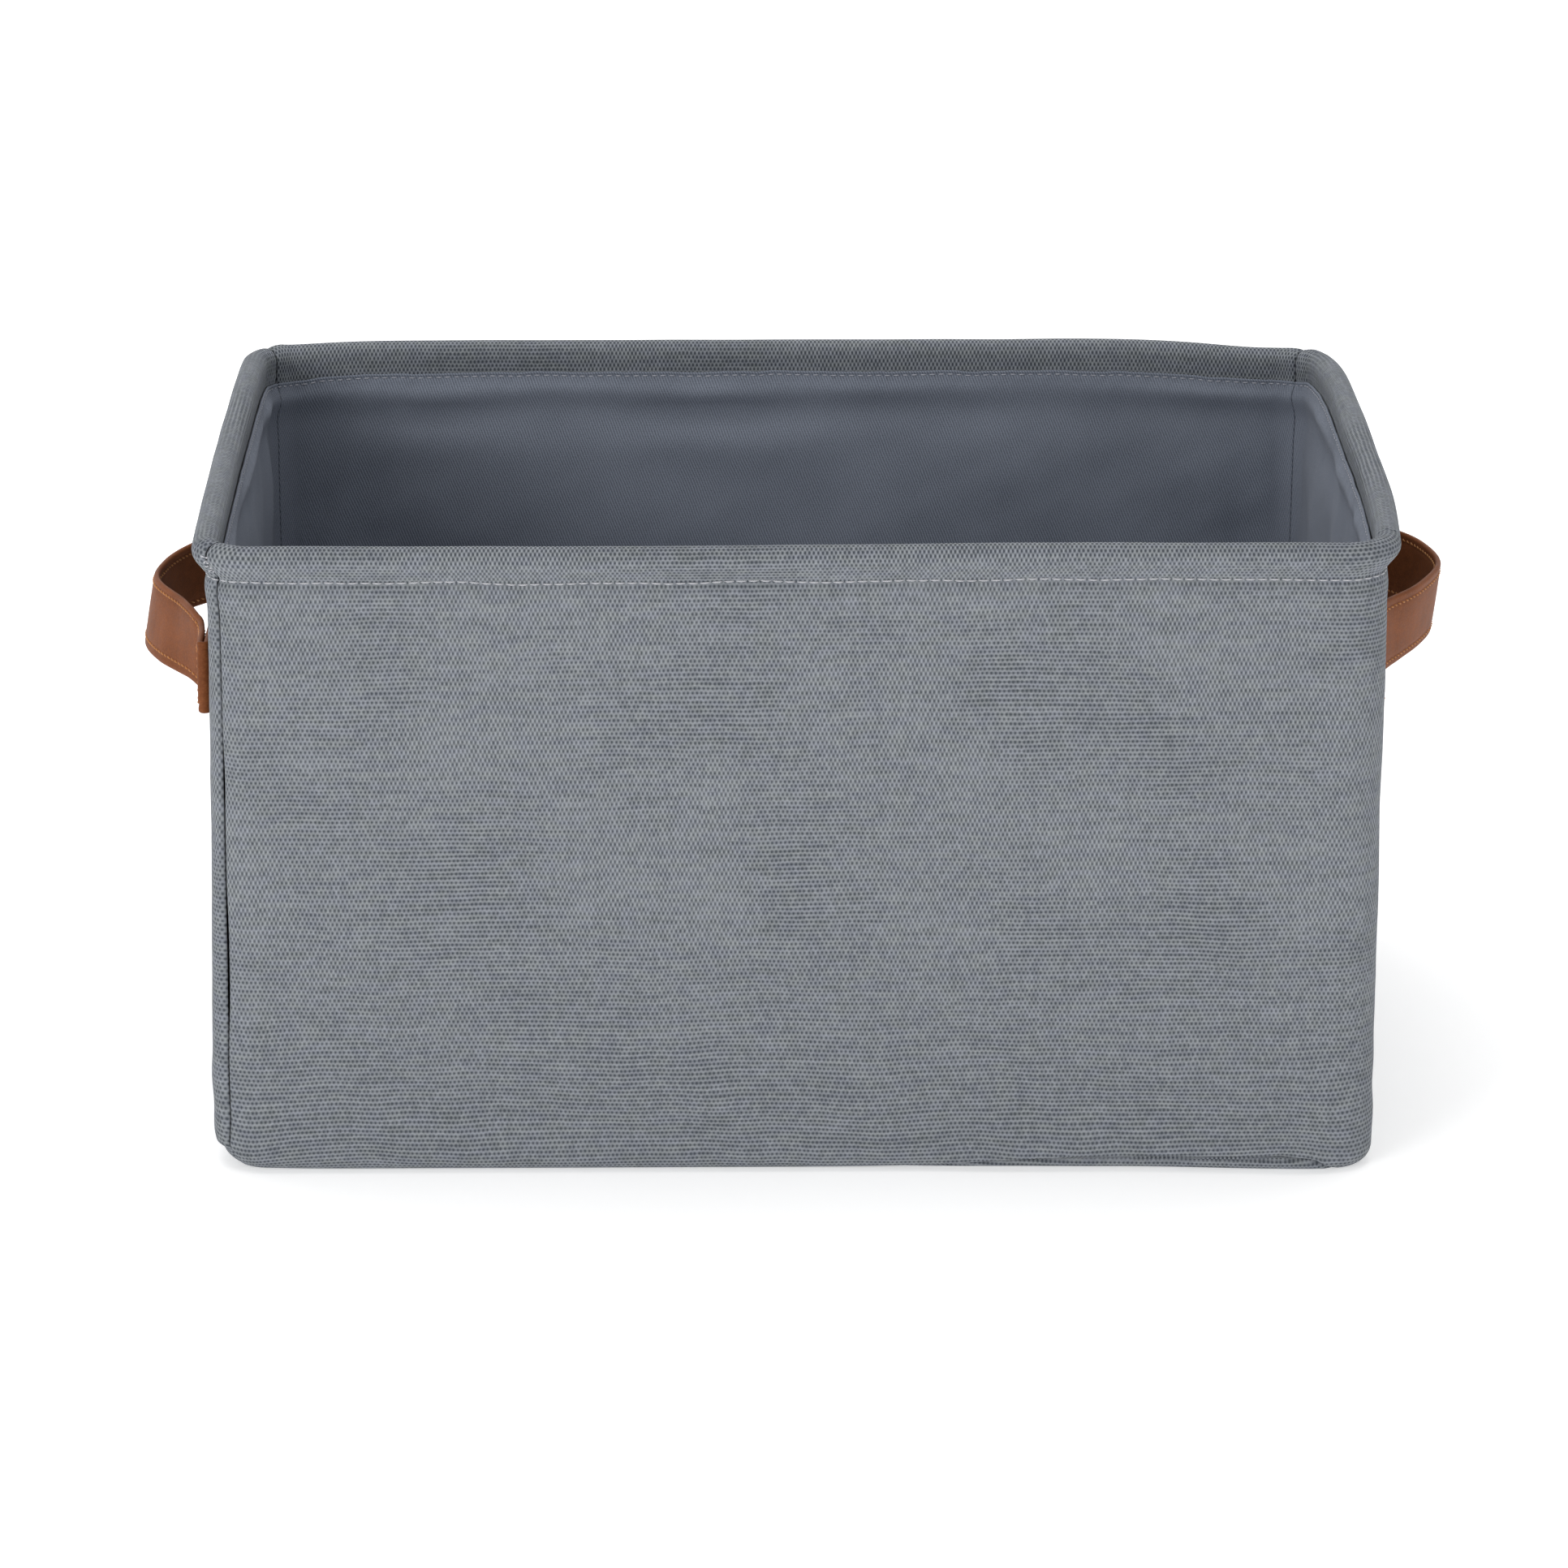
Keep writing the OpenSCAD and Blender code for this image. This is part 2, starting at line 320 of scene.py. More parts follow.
def canvas_push(s, z):
    """How far the foot stands out of its plain outline: the bin isn't cut quite square."""
    x = s - FRONT_MID
    drawn_in = -0.8 * MM * (1 - smoothstep(3 * MM, 7.5 * MM, z)) * (1 - smoothstep(60 * MM, 110 * MM, x))
    full = 2.4 * MM * (1 - smoothstep(0, 55 * MM, z)) * smoothstep(110 * MM, 165 * MM, x)
    at_front = smoothstep(-10 * MM, 20 * MM, s)
    at_front = at_front * (1 - smoothstep(CORNER_FR - 5 * MM, CORNER_FR + 20 * MM, s))
    push = at_front * (drawn_in + full)
    # The left panel is full beside its seam, down to just above the foot
    left_of_seam = np.where(s > ROUND / 2, smoothstep(ROUND - 120 * MM, ROUND - 20 * MM, s), 0)
    left_of_seam = left_of_seam * (1 - smoothstep(-3 * MM, 5 * MM, s - seam_front_left(z)))
    left_of_seam = left_of_seam + (1 - smoothstep(-3 * MM, 5 * MM, s + ROUND - seam_front_left(z)))
    push = push + left_of_seam * 1.9 * MM * bell(z, 24 * MM, 42 * MM) * smoothstep(6.5 * MM, 9.5 * MM, z)
    push = push - left_of_seam * 1.0 * MM * (1 - smoothstep(6.5 * MM, 9 * MM, z))
    # The walls beside the front corners are a little full at half height
    full_right = bell(s, CORNER_FR + 14 * MM, 34 * MM) * smoothstep(10 * MM, 60 * MM, z)
    push = push + 0.75 * MM * full_right * (1 - smoothstep(150 * MM, 190 * MM, z))
    push = push + 0.6 * MM * bell(s, ROUND - 6 * MM, 30 * MM) * bell(z, 88 * MM, 40 * MM)
    # The front left corner is rounder at the foot
    corner = bell(past(s, 0), 0, 18 * MM)
    return push - 1.9 * MM * corner * (1 - smoothstep(0, 8 * MM, z))


def canvas_offset(s, t):
    """How far the canvas stands out of its plain profile."""
    _, z = CANVAS.at(t)
    wall = smoothstep(6 * MM, 40 * MM, z) * (1 - smoothstep(T_STITCH - 20 * MM, T_STITCH - 2 * MM, t))
    in_corner = 0
    for corner in CORNERS:
        in_corner = in_corner + bell(s, corner, 14 * MM)
    face = 1 - np.clip(in_corner, 0, 1)
    d = wall * face * 0.55 * MM * soft_noise(s, z, 0.11, 3)
    d = d + wall * face * 0.22 * MM * soft_noise(s, z, 0.035, 4)
    # The walls between the boards' edges and the corners are a little full
    d = d + wall * in_corner * (0.5 + 0.4 * soft_noise(s, z, 0.09, 5)) * MM
    front_left = bell(past(s, 0), -3 * MM, 14 * MM)
    d = d - wall * front_left * 0.8 * MM * smoothstep(100 * MM, 150 * MM, z)
    # The boards keep the cloth out
    d = np.where(z > 7 * MM, np.maximum(d, -0.3 * MM), d)
    # Slack above the foot: shallow waves that run along it, most of it towards the right
    slack = bell(z, 24 * MM, 16 * MM) * face
    ripple = np.sin(2 * math.pi * (z - 0.06 * (s - FRONT_MID)) / (21 * MM))
    d = d + slack * (0.4 + ripple) * (0.3 + 0.3 * smoothstep(0, 0.15, s - FRONT_MID)) * MM
    # The cloth is drawn out where the straps are sewn
    for mid in (LEFT_MID, RIGHT_MID):
        for side in (-1, 1):
            d = d + 0.6 * MM * bell(s, mid + side * 66 * MM, 26 * MM) * bell(z, STRAP_Z, 32 * MM)
    # The front right foot is full, and hangs over the base seam
    shows = base_seam_shows(s)
    d = d + 1.2 * MM * bell(s, CORNER_FR - 18 * MM, 26 * MM) * bell(z, 15 * MM, 13 * MM)
    d = d + 1.3 * MM * shows * bell(t, base_seam(s) + 4.0 * MM, 3.2 * MM)
    d = d + 1.0 * MM * bell(s, FRONT_MID + 170 * MM, 9 * MM) * bell(z, 13 * MM, 5 * MM)
    # The stitches pull the hem in, and it puckers a little between them
    pucker = 0.5 + 0.5 * np.cos(2 * math.pi * s / (3 * STITCH_PITCH))
    outside = (t > T_FOOT) & (t < T_TOP)
    d = d - np.where(outside, (0.55 + 0.2 * pucker) * MM * bell(t, T_STITCH, 1.5 * MM), 0)
    d = d + np.where(outside, 0.5 * MM * bell(t, T_STITCH - 5 * MM, 4 * MM), 0)
    roll = smoothstep(T_STITCH + 2 * MM, T_STITCH + 8 * MM, t)
    d = d + roll * 0.12 * MM * soft_noise(s, t, 0.09, 6)
    # Seams draw the cloth in, and it swells beside them
    lips = 0
    for line in (seam_front_left, seam_back_right, seam_back_left):
        away = past(s, line(z))
        lips = lips + bell(away, -4.5 * MM, 3 * MM) + 0.4 * bell(away, 4 * MM, 3 * MM)
    d = d + lips * 0.6 * MM * smoothstep(4 * MM, 20 * MM, z)
    d = d - seam_depth(s, z)
    # The base seam draws in below the foot
    d = d - (0.9 + 1.6 * shows) * MM * bell(t, base_seam(s), 1.2 * MM)
    return d


def rim_lift(s):
    """The rim isn't quite level."""
    back_right = bell(s, CORNER_BR + 9 * MM, 36 * MM)
    back_left = bell(s, CORNER_BL, 26 * MM)
    front = np.sin(np.clip((s - QUARTER) / LONG, 0, 1) * 2 * math.pi)
    return (-3.6 * back_right - 1.6 * back_left - 0.4 * front) * MM


def place(s, out, z):
    """Points at distance out from the wall's plain face, with the bow and the rim's small waves."""
    px, py, nx, ny = way_round(s)
    lift = rim_lift(np.mod(s, ROUND)) * smoothstep(150 * MM, TOP_Z, z)
    x = px + nx * out + bow(px, py, z)
    y = py + ny * out
    return np.stack([x, y, np.maximum(z + lift, 0)], axis=-1)


def weave_at(s, t):
    """Where each point lies on the flat cloth: its rows waver, most of all above the foot."""
    _, z = CANVAS.at(t)
    level = 1 - smoothstep(T_STITCH - 14 * MM, T_STITCH, t)
    waver = (0.45 + 0.5 * bell(z, 10 * MM, 40 * MM)) * MM * soft_noise(s, z, 0.075, 41)
    pucker = 2.2 * MM * bell(s, FRONT_MID + 170 * MM, 13 * MM) * bell(z, 8 * MM, 9 * MM)
    corner = 3.0 * MM * bell(past(s, 0), 4 * MM, 14 * MM) * bell(z, 0, 22 * MM)
    return np.stack([s + 0 * t, t + level * (waver - pucker + corner)], -1)


def canvas_surface(s, t, extra=0.0):
    out, z = CANVAS.at(t)
    face_out, face_z = CANVAS.facing(t)
    d = canvas_offset(s, t) + extra
    return place(s, out + face_out * d + canvas_push(s, z), z + face_z * d)


# ---- Meshes ----


def link(obj):
    bpy.context.scene.collection.objects.link(obj)
    return obj


def face_outward(mesh):
    """Turn every face round if the mesh is inside out."""
    shape = bmesh.new()
    shape.from_mesh(mesh)
    if shape.calc_volume(signed=True) < 0:
        bmesh.ops.reverse_faces(shape, faces=shape.faces[:])
        shape.to_mesh(mesh)
    shape.free()


def mesh_object(name, points, faces, uv, material):
    mesh = bpy.data.meshes.new(name)
    mesh.from_pydata(np.asarray(points).tolist(), [], [list(map(int, f)) for f in faces])
    if uv is not None:
        layer = mesh.uv_layers.new(name="cloth")
        index = np.zeros(len(mesh.loops), np.int32)
        mesh.loops.foreach_get("vertex_index", index)
        layer.data.foreach_set("uv", np.asarray(uv, np.float32)[index].ravel())
    mesh.polygons.foreach_set("use_smooth", [True] * len(mesh.polygons))
    face_outward(mesh)
    mesh.update()
    mesh.materials.append(material)
    return link(bpy.data.objects.new(name, mesh))


def ring_sheet(name, first, second, uv, material, first_below):
    """A closed sheet between two stacks of rings, of which one lies below the other."""
    rows, cols = first.shape[:2]
    count = rows * cols
    last = (rows - 1) * cols
    faces = np.concatenate([
        grid_faces(rows, cols, 0, first_below, True), grid_faces(rows, cols, count, not first_below, True),
    ]).tolist()
    turn = -1 if first_below else 1
    faces += [[j, count + j, count + (j + 1) % cols, (j + 1) % cols][::turn] for j in range(cols)]
    faces.append([last + j for j in range(cols)][::turn])
    faces.append([count + last + j for j in range(cols)][::-turn])
    both = np.concatenate([first.reshape(-1, 3), second.reshape(-1, 3)])
    return mesh_object(name, both, faces, uv, material)


def stand_in(piece, body, slot, *nodes):
    """Put a piece on a body, in place of CAD nodes. The slot argument is not used."""
    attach(piece, body)
    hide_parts(*nodes)


def grid_faces(rows, cols, start=0, flip=False, wrap=False):
    i, j = np.meshgrid(np.arange(rows - 1), np.arange(cols if wrap else cols - 1), indexing="ij")
    k = (j + 1) % cols
    quads = np.stack([i * cols + j, i * cols + k, (i + 1) * cols + k, (i + 1) * cols + j], -1)
    quads = quads.reshape(-1, 4) + start
    return quads[:, ::-1] if flip else quads


def grid_normals(points):
    n = np.cross(np.gradient(points, axis=1), np.gradient(points, axis=0))
    return n / np.maximum(np.linalg.norm(n, axis=-1, keepdims=True), 1e-12)


def border(rows, cols):
    """Indices round the edge of a grid, anticlockwise with the outer face towards the viewer."""
    bottom = np.arange(cols)
    right = np.arange(1, rows) * cols + cols - 1
    top = (rows - 1) * cols + np.arange(cols - 2, -1, -1)
    left = np.arange(rows - 2, 0, -1) * cols
    return np.concatenate([bottom, right, top, left])


def cloth_object(name, points, uv, thickness, material):
    """A closed sheet: the grid of points is its outer face, and thickness goes inward."""
    rows, cols = points.shape[:2]
    inner = points - grid_normals(points) * thickness
    inner[..., 2] = np.maximum(inner[..., 2], 0.02 * MM)
    count = rows * cols
    edge = border(rows, cols)
    after = np.roll(edge, -1)
    rim = np.stack([edge, edge + count, after + count, after], -1)
    faces = np.concatenate([grid_faces(rows, cols), grid_faces(rows, cols, count, True), rim])
    both = np.concatenate([points.reshape(-1, 3), inner.reshape(-1, 3)])
    uvs = np.tile(uv.reshape(-1, 2), (2, 1))
    return mesh_object(name, both, faces, uvs, material)


def spaced(start, stop, step, fine=(), reach=6 * MM, fine_step=0.4 * MM):
    """Values from start to stop about step apart, closer together near the fine ones."""
    values = [start]
    while values[-1] < stop:
        near = min([abs(values[-1] - f) for f in fine] + [10.0])
        values.append(values[-1] + (fine_step + (step - fine_step) * min(1, near / reach)))
    values = np.array(values)
    return start + (values - start) * (stop - start) / (values[-1] - start)


def sweep(name, path, ring, right, up, material, closed=False):
    """A tube: ring (n x 2) is carried along the path on the directions right and up."""
    path, ring = np.asarray(path, float), np.asarray(ring, float)
    points = path[:, None] + ring[None, :, 0, None] * right[:, None] + ring[None, :, 1, None] * up[:, None]
    rows, cols = points.shape[:2]
    faces = grid_faces(rows, cols, wrap=True).tolist()
    if closed:
        last = (rows - 1) * cols
        faces += [[last + j, last + (j + 1) % cols, (j + 1) % cols, j] for j in range(cols)]
    else:
        faces += [list(range(cols))[::-1], [(rows - 1) * cols + j for j in range(cols)]]
    uv = np.stack(np.meshgrid(run_length(path), run_length(ring), indexing="ij"), -1).reshape(-1, 2)
    return mesh_object(name, points.reshape(-1, 3), faces, uv, material)


STITCH_SIDES = 6
STITCH_RINGS = 5


def stitches(name, rows, radius, material, cover=0.72, rise=0.25 * MM, lean=0.0):
    """Short rounded lengths of thread: each row of (points, normals) has a stitch from point to point."""
    verts, faces, uvs = [], [], []
    for points, normals in rows:
        points, normals = np.asarray(points), np.asarray(normals)
        ahead = points[1:] - points[:-1]
        normal = normals[:-1]
        size = np.linalg.norm(ahead, axis=1, keepdims=True)
        tangent = ahead / np.maximum(size, 1e-9)
        side = np.cross(tangent, normal)
        ahead = ahead + side * lean * size
        for k in range(len(ahead)):
            base = len(verts)
            for ring in range(STITCH_RINGS):
                f = ring / (STITCH_RINGS - 1)
                swell = 0.45 + 0.55 * math.sin(math.pi * f) ** 0.5
                lift = rise * math.sin(math.pi * f) - 0.5 * radius * (1 - math.sin(math.pi * f))
                centre = points[k] + ahead[k] * ((1 - cover) / 2 + cover * f) + normal[k] * lift
                for corner in range(STITCH_SIDES):
                    a = 2 * math.pi * corner / STITCH_SIDES
                    offset = side[k] * math.cos(a) + normal[k] * math.sin(a)
                    verts.append(centre + offset * radius * swell)
                    uvs.append((f * cover * float(size[k, 0]), a / (2 * math.pi) * 6 * radius))
            for ring in range(STITCH_RINGS - 1):
                for corner in range(STITCH_SIDES):
                    a = base + ring * STITCH_SIDES + corner
                    b = base + ring * STITCH_SIDES + (corner + 1) % STITCH_SIDES
                    faces.append((a, b, b + STITCH_SIDES, a + STITCH_SIDES))
            faces.append([base + c for c in range(STITCH_SIDES)][::-1])
            faces.append([base + (STITCH_RINGS - 1) * STITCH_SIDES + c for c in range(STITCH_SIDES)])
    return mesh_object(name, verts, faces, uvs, material)


# ---- Materials ----


class Shader:
    """A material's node tree, with short calls for its nodes."""

    def __init__(self, name, **sockets):
        self.material = bpy.data.materials.new(name)
        self.material.use_nodes = True
        self.tree = self.material.node_tree
        self.principled = self.tree.nodes["Principled BSDF"]
        for socket, value in sockets.items():
            self.principled.inputs[socket.replace("_", " ")].default_value = value

    def node(self, kind, **settings):
        """A new node of this kind, with its settings."""
        made = self.tree.nodes.new(kind)
        for key, value in settings.items():
            setattr(made, key, value)
        return made

    def feed(self, value, socket):
        if hasattr(value, "is_output"):
            self.tree.links.new(value, socket)
        else:
            socket.default_value = value

    def math(self, operation, a, b=0.0):
        made = self.node("ShaderNodeMath", operation=operation)
        for socket, value in zip(made.inputs, (a, b)):
            self.feed(value, socket)
        return made.outputs[0]

    def times(self, a, b):
        return self.math("MULTIPLY", a, b)

    def plus(self, a, b):
        return self.math("ADD", a, b)

    def minus(self, a, b):
        return self.math("SUBTRACT", a, b)

    def about_zero(self, value, share):
        """A value round 0.5, moved to lie round zero and scaled."""
        return self.times(self.minus(value, 0.5), share)

    def cloth_uv(self):
        """The cloth's own two directions, in metres."""
        uv = self.node("ShaderNodeUVMap", uv_map="cloth")
        split = self.node("ShaderNodeSeparateXYZ")
        self.tree.links.new(uv.outputs[0], split.inputs[0])
        return split.outputs[0], split.outputs[1]

    def join(self, x, y, z=0.0):
        made = self.node("ShaderNodeCombineXYZ")
        for socket, value in zip(made.inputs, (x, y, z)):
            self.feed(value, socket)
        return made.outputs[0]

    def noise(self, vector, scale, detail=2.0, rough=0.5):
        made = self.node("ShaderNodeTexNoise", noise_dimensions="3D")
        self.feed(vector, made.inputs["Vector"])
        for key, value in (("Scale", scale), ("Detail", detail), ("Roughness", rough)):
            made.inputs[key].default_value = value
        return made.outputs[0]

    def speck(self, vector):
        made = self.node("ShaderNodeTexWhiteNoise", noise_dimensions="3D")
        self.feed(vector, made.inputs["Vector"])
        return made.outputs[0]

    def object_point(self):
        return self.node("ShaderNodeTexCoord").outputs["Object"]

    def mix(self, share, a, b):
        made = self.node("ShaderNodeMix", data_type="RGBA")
        self.feed(share, made.inputs[0])
        for socket, value in ((made.inputs[6], a), (made.inputs[7], b)):
            if isinstance(value, tuple):
                value = (*value, 1.0)
            self.feed(value, socket)
        return made.outputs[2]

    def span(self, value, low, high, to_low=0.0, to_high=1.0):
        made = self.node("ShaderNodeMapRange")
        for socket, number in zip(made.inputs, (value, low, high, to_low, to_high)):
            self.feed(number, socket)
        return made.outputs[0]

    def colour(self, value):
        self.feed(value, self.principled.inputs["Base Color"])

    def bump(self, height, distance, strength=1.0):
        made = self.node("ShaderNodeBump")
        made.inputs["Strength"].default_value = strength
        made.inputs["Distance"].default_value = distance
        self.feed(height, made.inputs["Height"])
        self.tree.links.new(made.outputs[0], self.principled.inputs["Normal"])


YARN_ACROSS = 1.49 * MM
YARN_UP = 1.57 * MM
CANVAS_DARK_GREEN = (0.071, 0.081, 0.091)
CANVAS_DARK_BLUE = (0.069, 0.078, 0.096)
CANVAS_PALE_GREEN = (0.303, 0.322, 0.335)
CANVAS_PALE_BLUE = (0.295, 0.313, 0.349)
LINING_DARK = (0.096, 0.109, 0.137)
LINING_PALE = (0.285, 0.313, 0.375)


def canvas_material():
    """Brick-pattern weave: small dark gaps between raised ovals, with paler slub yarns along the rows, and
    painted shade in the gaps on the hem's turned-in side.
    """
    m = Shader("canvas_weave", Roughness=0.95, Specular_IOR_Level=0.12, Sheen_Weight=0.05,
               Sheen_Roughness=0.5)
    u, v = m.cloth_uv()
    cloth = m.join(u, v)
    wander = m.about_zero(m.noise(cloth, 60.0, 3.0), 0.9 * MM)
    drift = m.about_zero(m.noise(m.join(v, u, 3.0), 70.0, 3.0), 0.7 * MM)
    a = m.math("DIVIDE", m.plus(u, wander), YARN_ACROSS)
    b = m.math("DIVIDE", m.plus(v, drift), YARN_UP)
    across = m.math("COSINE", m.times(a, 2 * math.pi))
    upward = m.math("COSINE", m.times(b, math.pi))
    ovals = m.times(across, upward)
    rows = m.math("COSINE", m.times(b, 2 * math.pi))
    gaps = m.math("POWER", m.span(ovals, -1.0, 1.0, 1.0, 0.0), 2.2)
    crowns = m.math("POWER", m.span(ovals, -1.0, 1.0), 3.0)
    row = m.math("ROUND", b)
    column = m.math("ROUND", m.minus(a, m.times(row, 0.5)))
    yarn = m.speck(m.join(column, row, 0.5))
    # Low on the walls the rows read as lines, higher up as ovals
    loose = m.times(m.span(m.noise(cloth, 14.0, 2.0), 0.3, 0.58), m.span(v, 0.02, 0.11, 0.2, 1.0))
    streak = m.noise(m.join(m.times(u, 45.0), m.times(v, 640.0), 1.0), 1.0, 1.0, 0.5)
    slub = m.noise(m.join(m.times(u, 14.0), m.times(v, 150.0), 5.0), 1.0, 2.0, 0.55)
    fibre = m.noise(cloth, 2600.0, 2.0)
    # Painted shade: the weave's gaps are drawn darker past the top of the roll, on the hem's turned-in side,
    # for the shade inside the bin
    gap_tone_with_painted_hem_shade = m.span(v, T_TOP, T_TOP + 5 * MM, 0.4, 0.72)
    light = m.minus(0.56, m.times(gaps, gap_tone_with_painted_hem_shade))
    light = m.plus(light, m.times(crowns, m.span(loose, 0.0, 1.0, 0.06, 0.58)))
    lines = m.times(rows, m.span(loose, 0.0, 1.0, -0.25, -0.02))
    light = m.plus(light, lines)
    for part, share in ((yarn, 0.2), (streak, 0.34), (slub, 0.17), (fibre, 0.22)):
        light = m.plus(light, m.about_zero(part, share))
    blotch = m.noise(m.join(m.times(u, 110.0), m.times(v, 250.0)), 1.0, 3.0)
    patch = m.span(blotch, 0.35, 0.65)
    dark = m.mix(patch, CANVAS_DARK_GREEN, CANVAS_DARK_BLUE)
    pale = m.mix(patch, CANVAS_PALE_GREEN, CANVAS_PALE_BLUE)
    m.colour(m.mix(m.span(light, 0.07, 0.93), dark, pale))
    height = m.minus(m.times(fibre, 0.3), gaps)
    m.bump(height, 0.25 * MM)
    return m.material


def lining_material():
    """Fine twill: close, steep diagonal ribs, and faint cloudy shading."""
    m = Shader("lining_twill", Roughness=0.9, Specular_IOR_Level=0.15, Sheen_Weight=0.08,
               Sheen_Roughness=0.4)
    u, v = m.cloth_uv()
    cloth = m.join(u, v)
    rib = 0.95 * MM
    wander = m.about_zero(m.noise(cloth, 90.0, 3.0), 0.9 * MM)
    slant = m.plus(m.plus(m.times(u, 0.93), m.times(v, 0.36)), wander)
    ribs = m.math("SINE", m.times(slant, 2 * math.pi / rib))
    cross = m.math("SINE", m.times(v, 2 * math.pi / (0.8 * MM)))
    twill = m.plus(m.times(ribs, 0.88), m.times(cross, 0.12))
    fibre = m.noise(cloth, 1500.0, 3.0, 0.7)
    cloud = m.noise(cloth, 26.0, 4.0, 0.55)
    share = m.span(twill, -1.0, 1.0, 0.16, 0.80)
    share = m.plus(share, m.about_zero(fibre, 0.9))
    share = m.plus(share, m.about_zero(cloud, 0.35))
    m.colour(m.mix(share, LINING_DARK, LINING_PALE))
    m.bump(m.plus(twill, fibre), 0.06 * MM)
    return m.material


LEATHER_DARK = (0.142, 0.041, 0.012)
LEATHER_PALE = (0.292, 0.098, 0.035)


def leather_material():
    """Smooth brown leather: fine pebbled grain and cloudy tone."""
    m = Shader("strap_leather", Roughness=0.55, Specular_IOR_Level=0.12)
    u, v = m.cloth_uv()
    cloth = m.join(u, v)
    cells = m.node("ShaderNodeTexVoronoi", feature="DISTANCE_TO_EDGE")
    m.feed(cloth, cells.inputs["Vector"])
    cells.inputs["Scale"].default_value = 900.0
    grain = m.span(cells.outputs["Distance"], 0.0, 0.25)
    cloud = m.noise(cloth, 60.0, 4.0, 0.6)
    mottle = m.noise(cloth, 420.0, 3.0, 0.6)
    share = m.plus(m.times(cloud, 0.65), m.times(mottle, 0.4))
    share = m.minus(share, m.times(m.minus(1.0, grain), 0.14))
    m.colour(m.mix(m.span(share, 0.25, 0.85), LEATHER_DARK, LEATHER_PALE))
    m.feed(m.span(mottle, 0.3, 0.7, 0.5, 0.62), m.principled.inputs["Roughness"])
    m.bump(m.plus(m.times(grain, 0.4), mottle), 0.03 * MM)
    return m.material


def thread_material(name, dark, pale, twist):
    """Two-ply twisted thread."""
    m = Shader(name, Roughness=0.75, Specular_IOR_Level=0.3, Sheen_Weight=0.2)
    u, v = m.cloth_uv()
    ply = m.math("SINE", m.times(m.plus(u, v), 2 * math.pi / twist))
    fibre = m.noise(m.join(u, v), 3000.0, 2.0)
    share = m.plus(m.span(ply, -1.0, 1.0, 0.2, 0.8), m.about_zero(fibre, 0.5))
    m.colour(m.mix(share, dark, pale))
    m.bump(ply, 0.05 * MM)
    return m.material


def board_material():
    """Grey-brown pressed board with short fibres."""
    m = Shader("pressed_board", Roughness=0.85, Specular_IOR_Level=0.2)
    point = m.object_point()
    fibre = m.noise(point, 900.0, 4.0, 0.7)
    cloud = m.noise(point, 18.0, 3.0)
    share = m.plus(m.times(fibre, 0.7), m.times(cloud, 0.3))
    m.colour(m.mix(share, (0.30, 0.22, 0.13), (0.58, 0.45, 0.30)))
    m.bump(fibre, 0.06 * MM)
    return m.material


def steel_material():
    """Drawn wire with fine lengthways scratches."""
    m = Shader("drawn_wire", Metallic=1.0, Roughness=0.32)
    scratch = m.noise(m.object_point(), 1400.0, 3.0, 0.7)
    m.colour(m.mix(scratch, (0.50, 0.51, 0.52), (0.72, 0.73, 0.74)))
    m.feed(m.span(scratch, 0.3, 0.7, 0.25, 0.42), m.principled.inputs["Roughness"])
    m.bump(scratch, 0.01 * MM)
    return m.material


def filler_material():
    """Pale bonded fibre."""
    m = Shader("bonded_filler", Roughness=0.95)
    fibre = m.noise(m.object_point(), 1500.0, 4.0, 0.7)
    m.colour(m.mix(fibre, (0.52, 0.48, 0.41), (0.80, 0.77, 0.70)))
    m.bump(fibre, 0.08 * MM)
    return m.material


FLOOR_GLOW = 0.42


def floor_material():
    """Plain pale studio paper."""
    m = Shader("pale_floor", Roughness=0.85, Specular_IOR_Level=0.1, Emission_Strength=FLOOR_GLOW)
    tone = m.noise(m.object_point(), 6.0, 2.0)
    m.colour(m.mix(tone, (0.86, 0.86, 0.86), (0.90, 0.90, 0.90)))
    m.principled.inputs["Emission Color"].default_value = (1, 1, 1, 1)
    return m.material


MATERIALS = {
    "canvas": canvas_material(),
    "lining": lining_material(),
    "board": board_material(),
    "steel": steel_material(),
    "canvas_thread": thread_material("grey_thread", (0.34, 0.35, 0.38), (0.70, 0.70, 0.73), 0.7 * MM),
    "lining_thread": thread_material("slate_thread", (0.26, 0.27, 0.31), (0.56, 0.57, 0.63), 0.7 * MM),
    "strap_leather": leather_material(),
    "strap_core": filler_material(),
    "strap_thread": thread_material("tan_thread", (0.36, 0.13, 0.03), (0.66, 0.29, 0.09), 0.6 * MM),
}

# ---- The camera, first ----

CAMERA_TURN = -0.66
CAMERA_TILT = 17.0
CAMERA_AWAY = 2.491
CAMERA_LENS = 157.3


def make_camera():
    data = bpy.data.cameras.new("camera")
    data.lens = CAMERA_LENS
    data.clip_end = 50
    camera = link(bpy.data.objects.new("camera", data))
    turn, tilt = math.radians(CAMERA_TURN), math.radians(CAMERA_TILT)
    back = Vector((math.sin(turn) * math.cos(tilt), -math.cos(turn) * math.cos(tilt), math.sin(tilt)))
    camera.location = Vector((-2.25 * MM, 0, 95.1 * MM)) + back * CAMERA_AWAY
    camera.rotation_euler = (-back).to_track_quat("-Z", "Y").to_euler()
    bpy.context.scene.camera = camera


# ---- Outer canvas ----


def panel_rows():
    fine = [T_FOOT * 0.4, T_STITCH, T_STITCH + 8 * MM, T_TOP + 4 * MM, CANVAS.end]
    return spaced(T_FOOT, CANVAS.end, 2.6 * MM, fine, 9 * MM, 0.45 * MM)


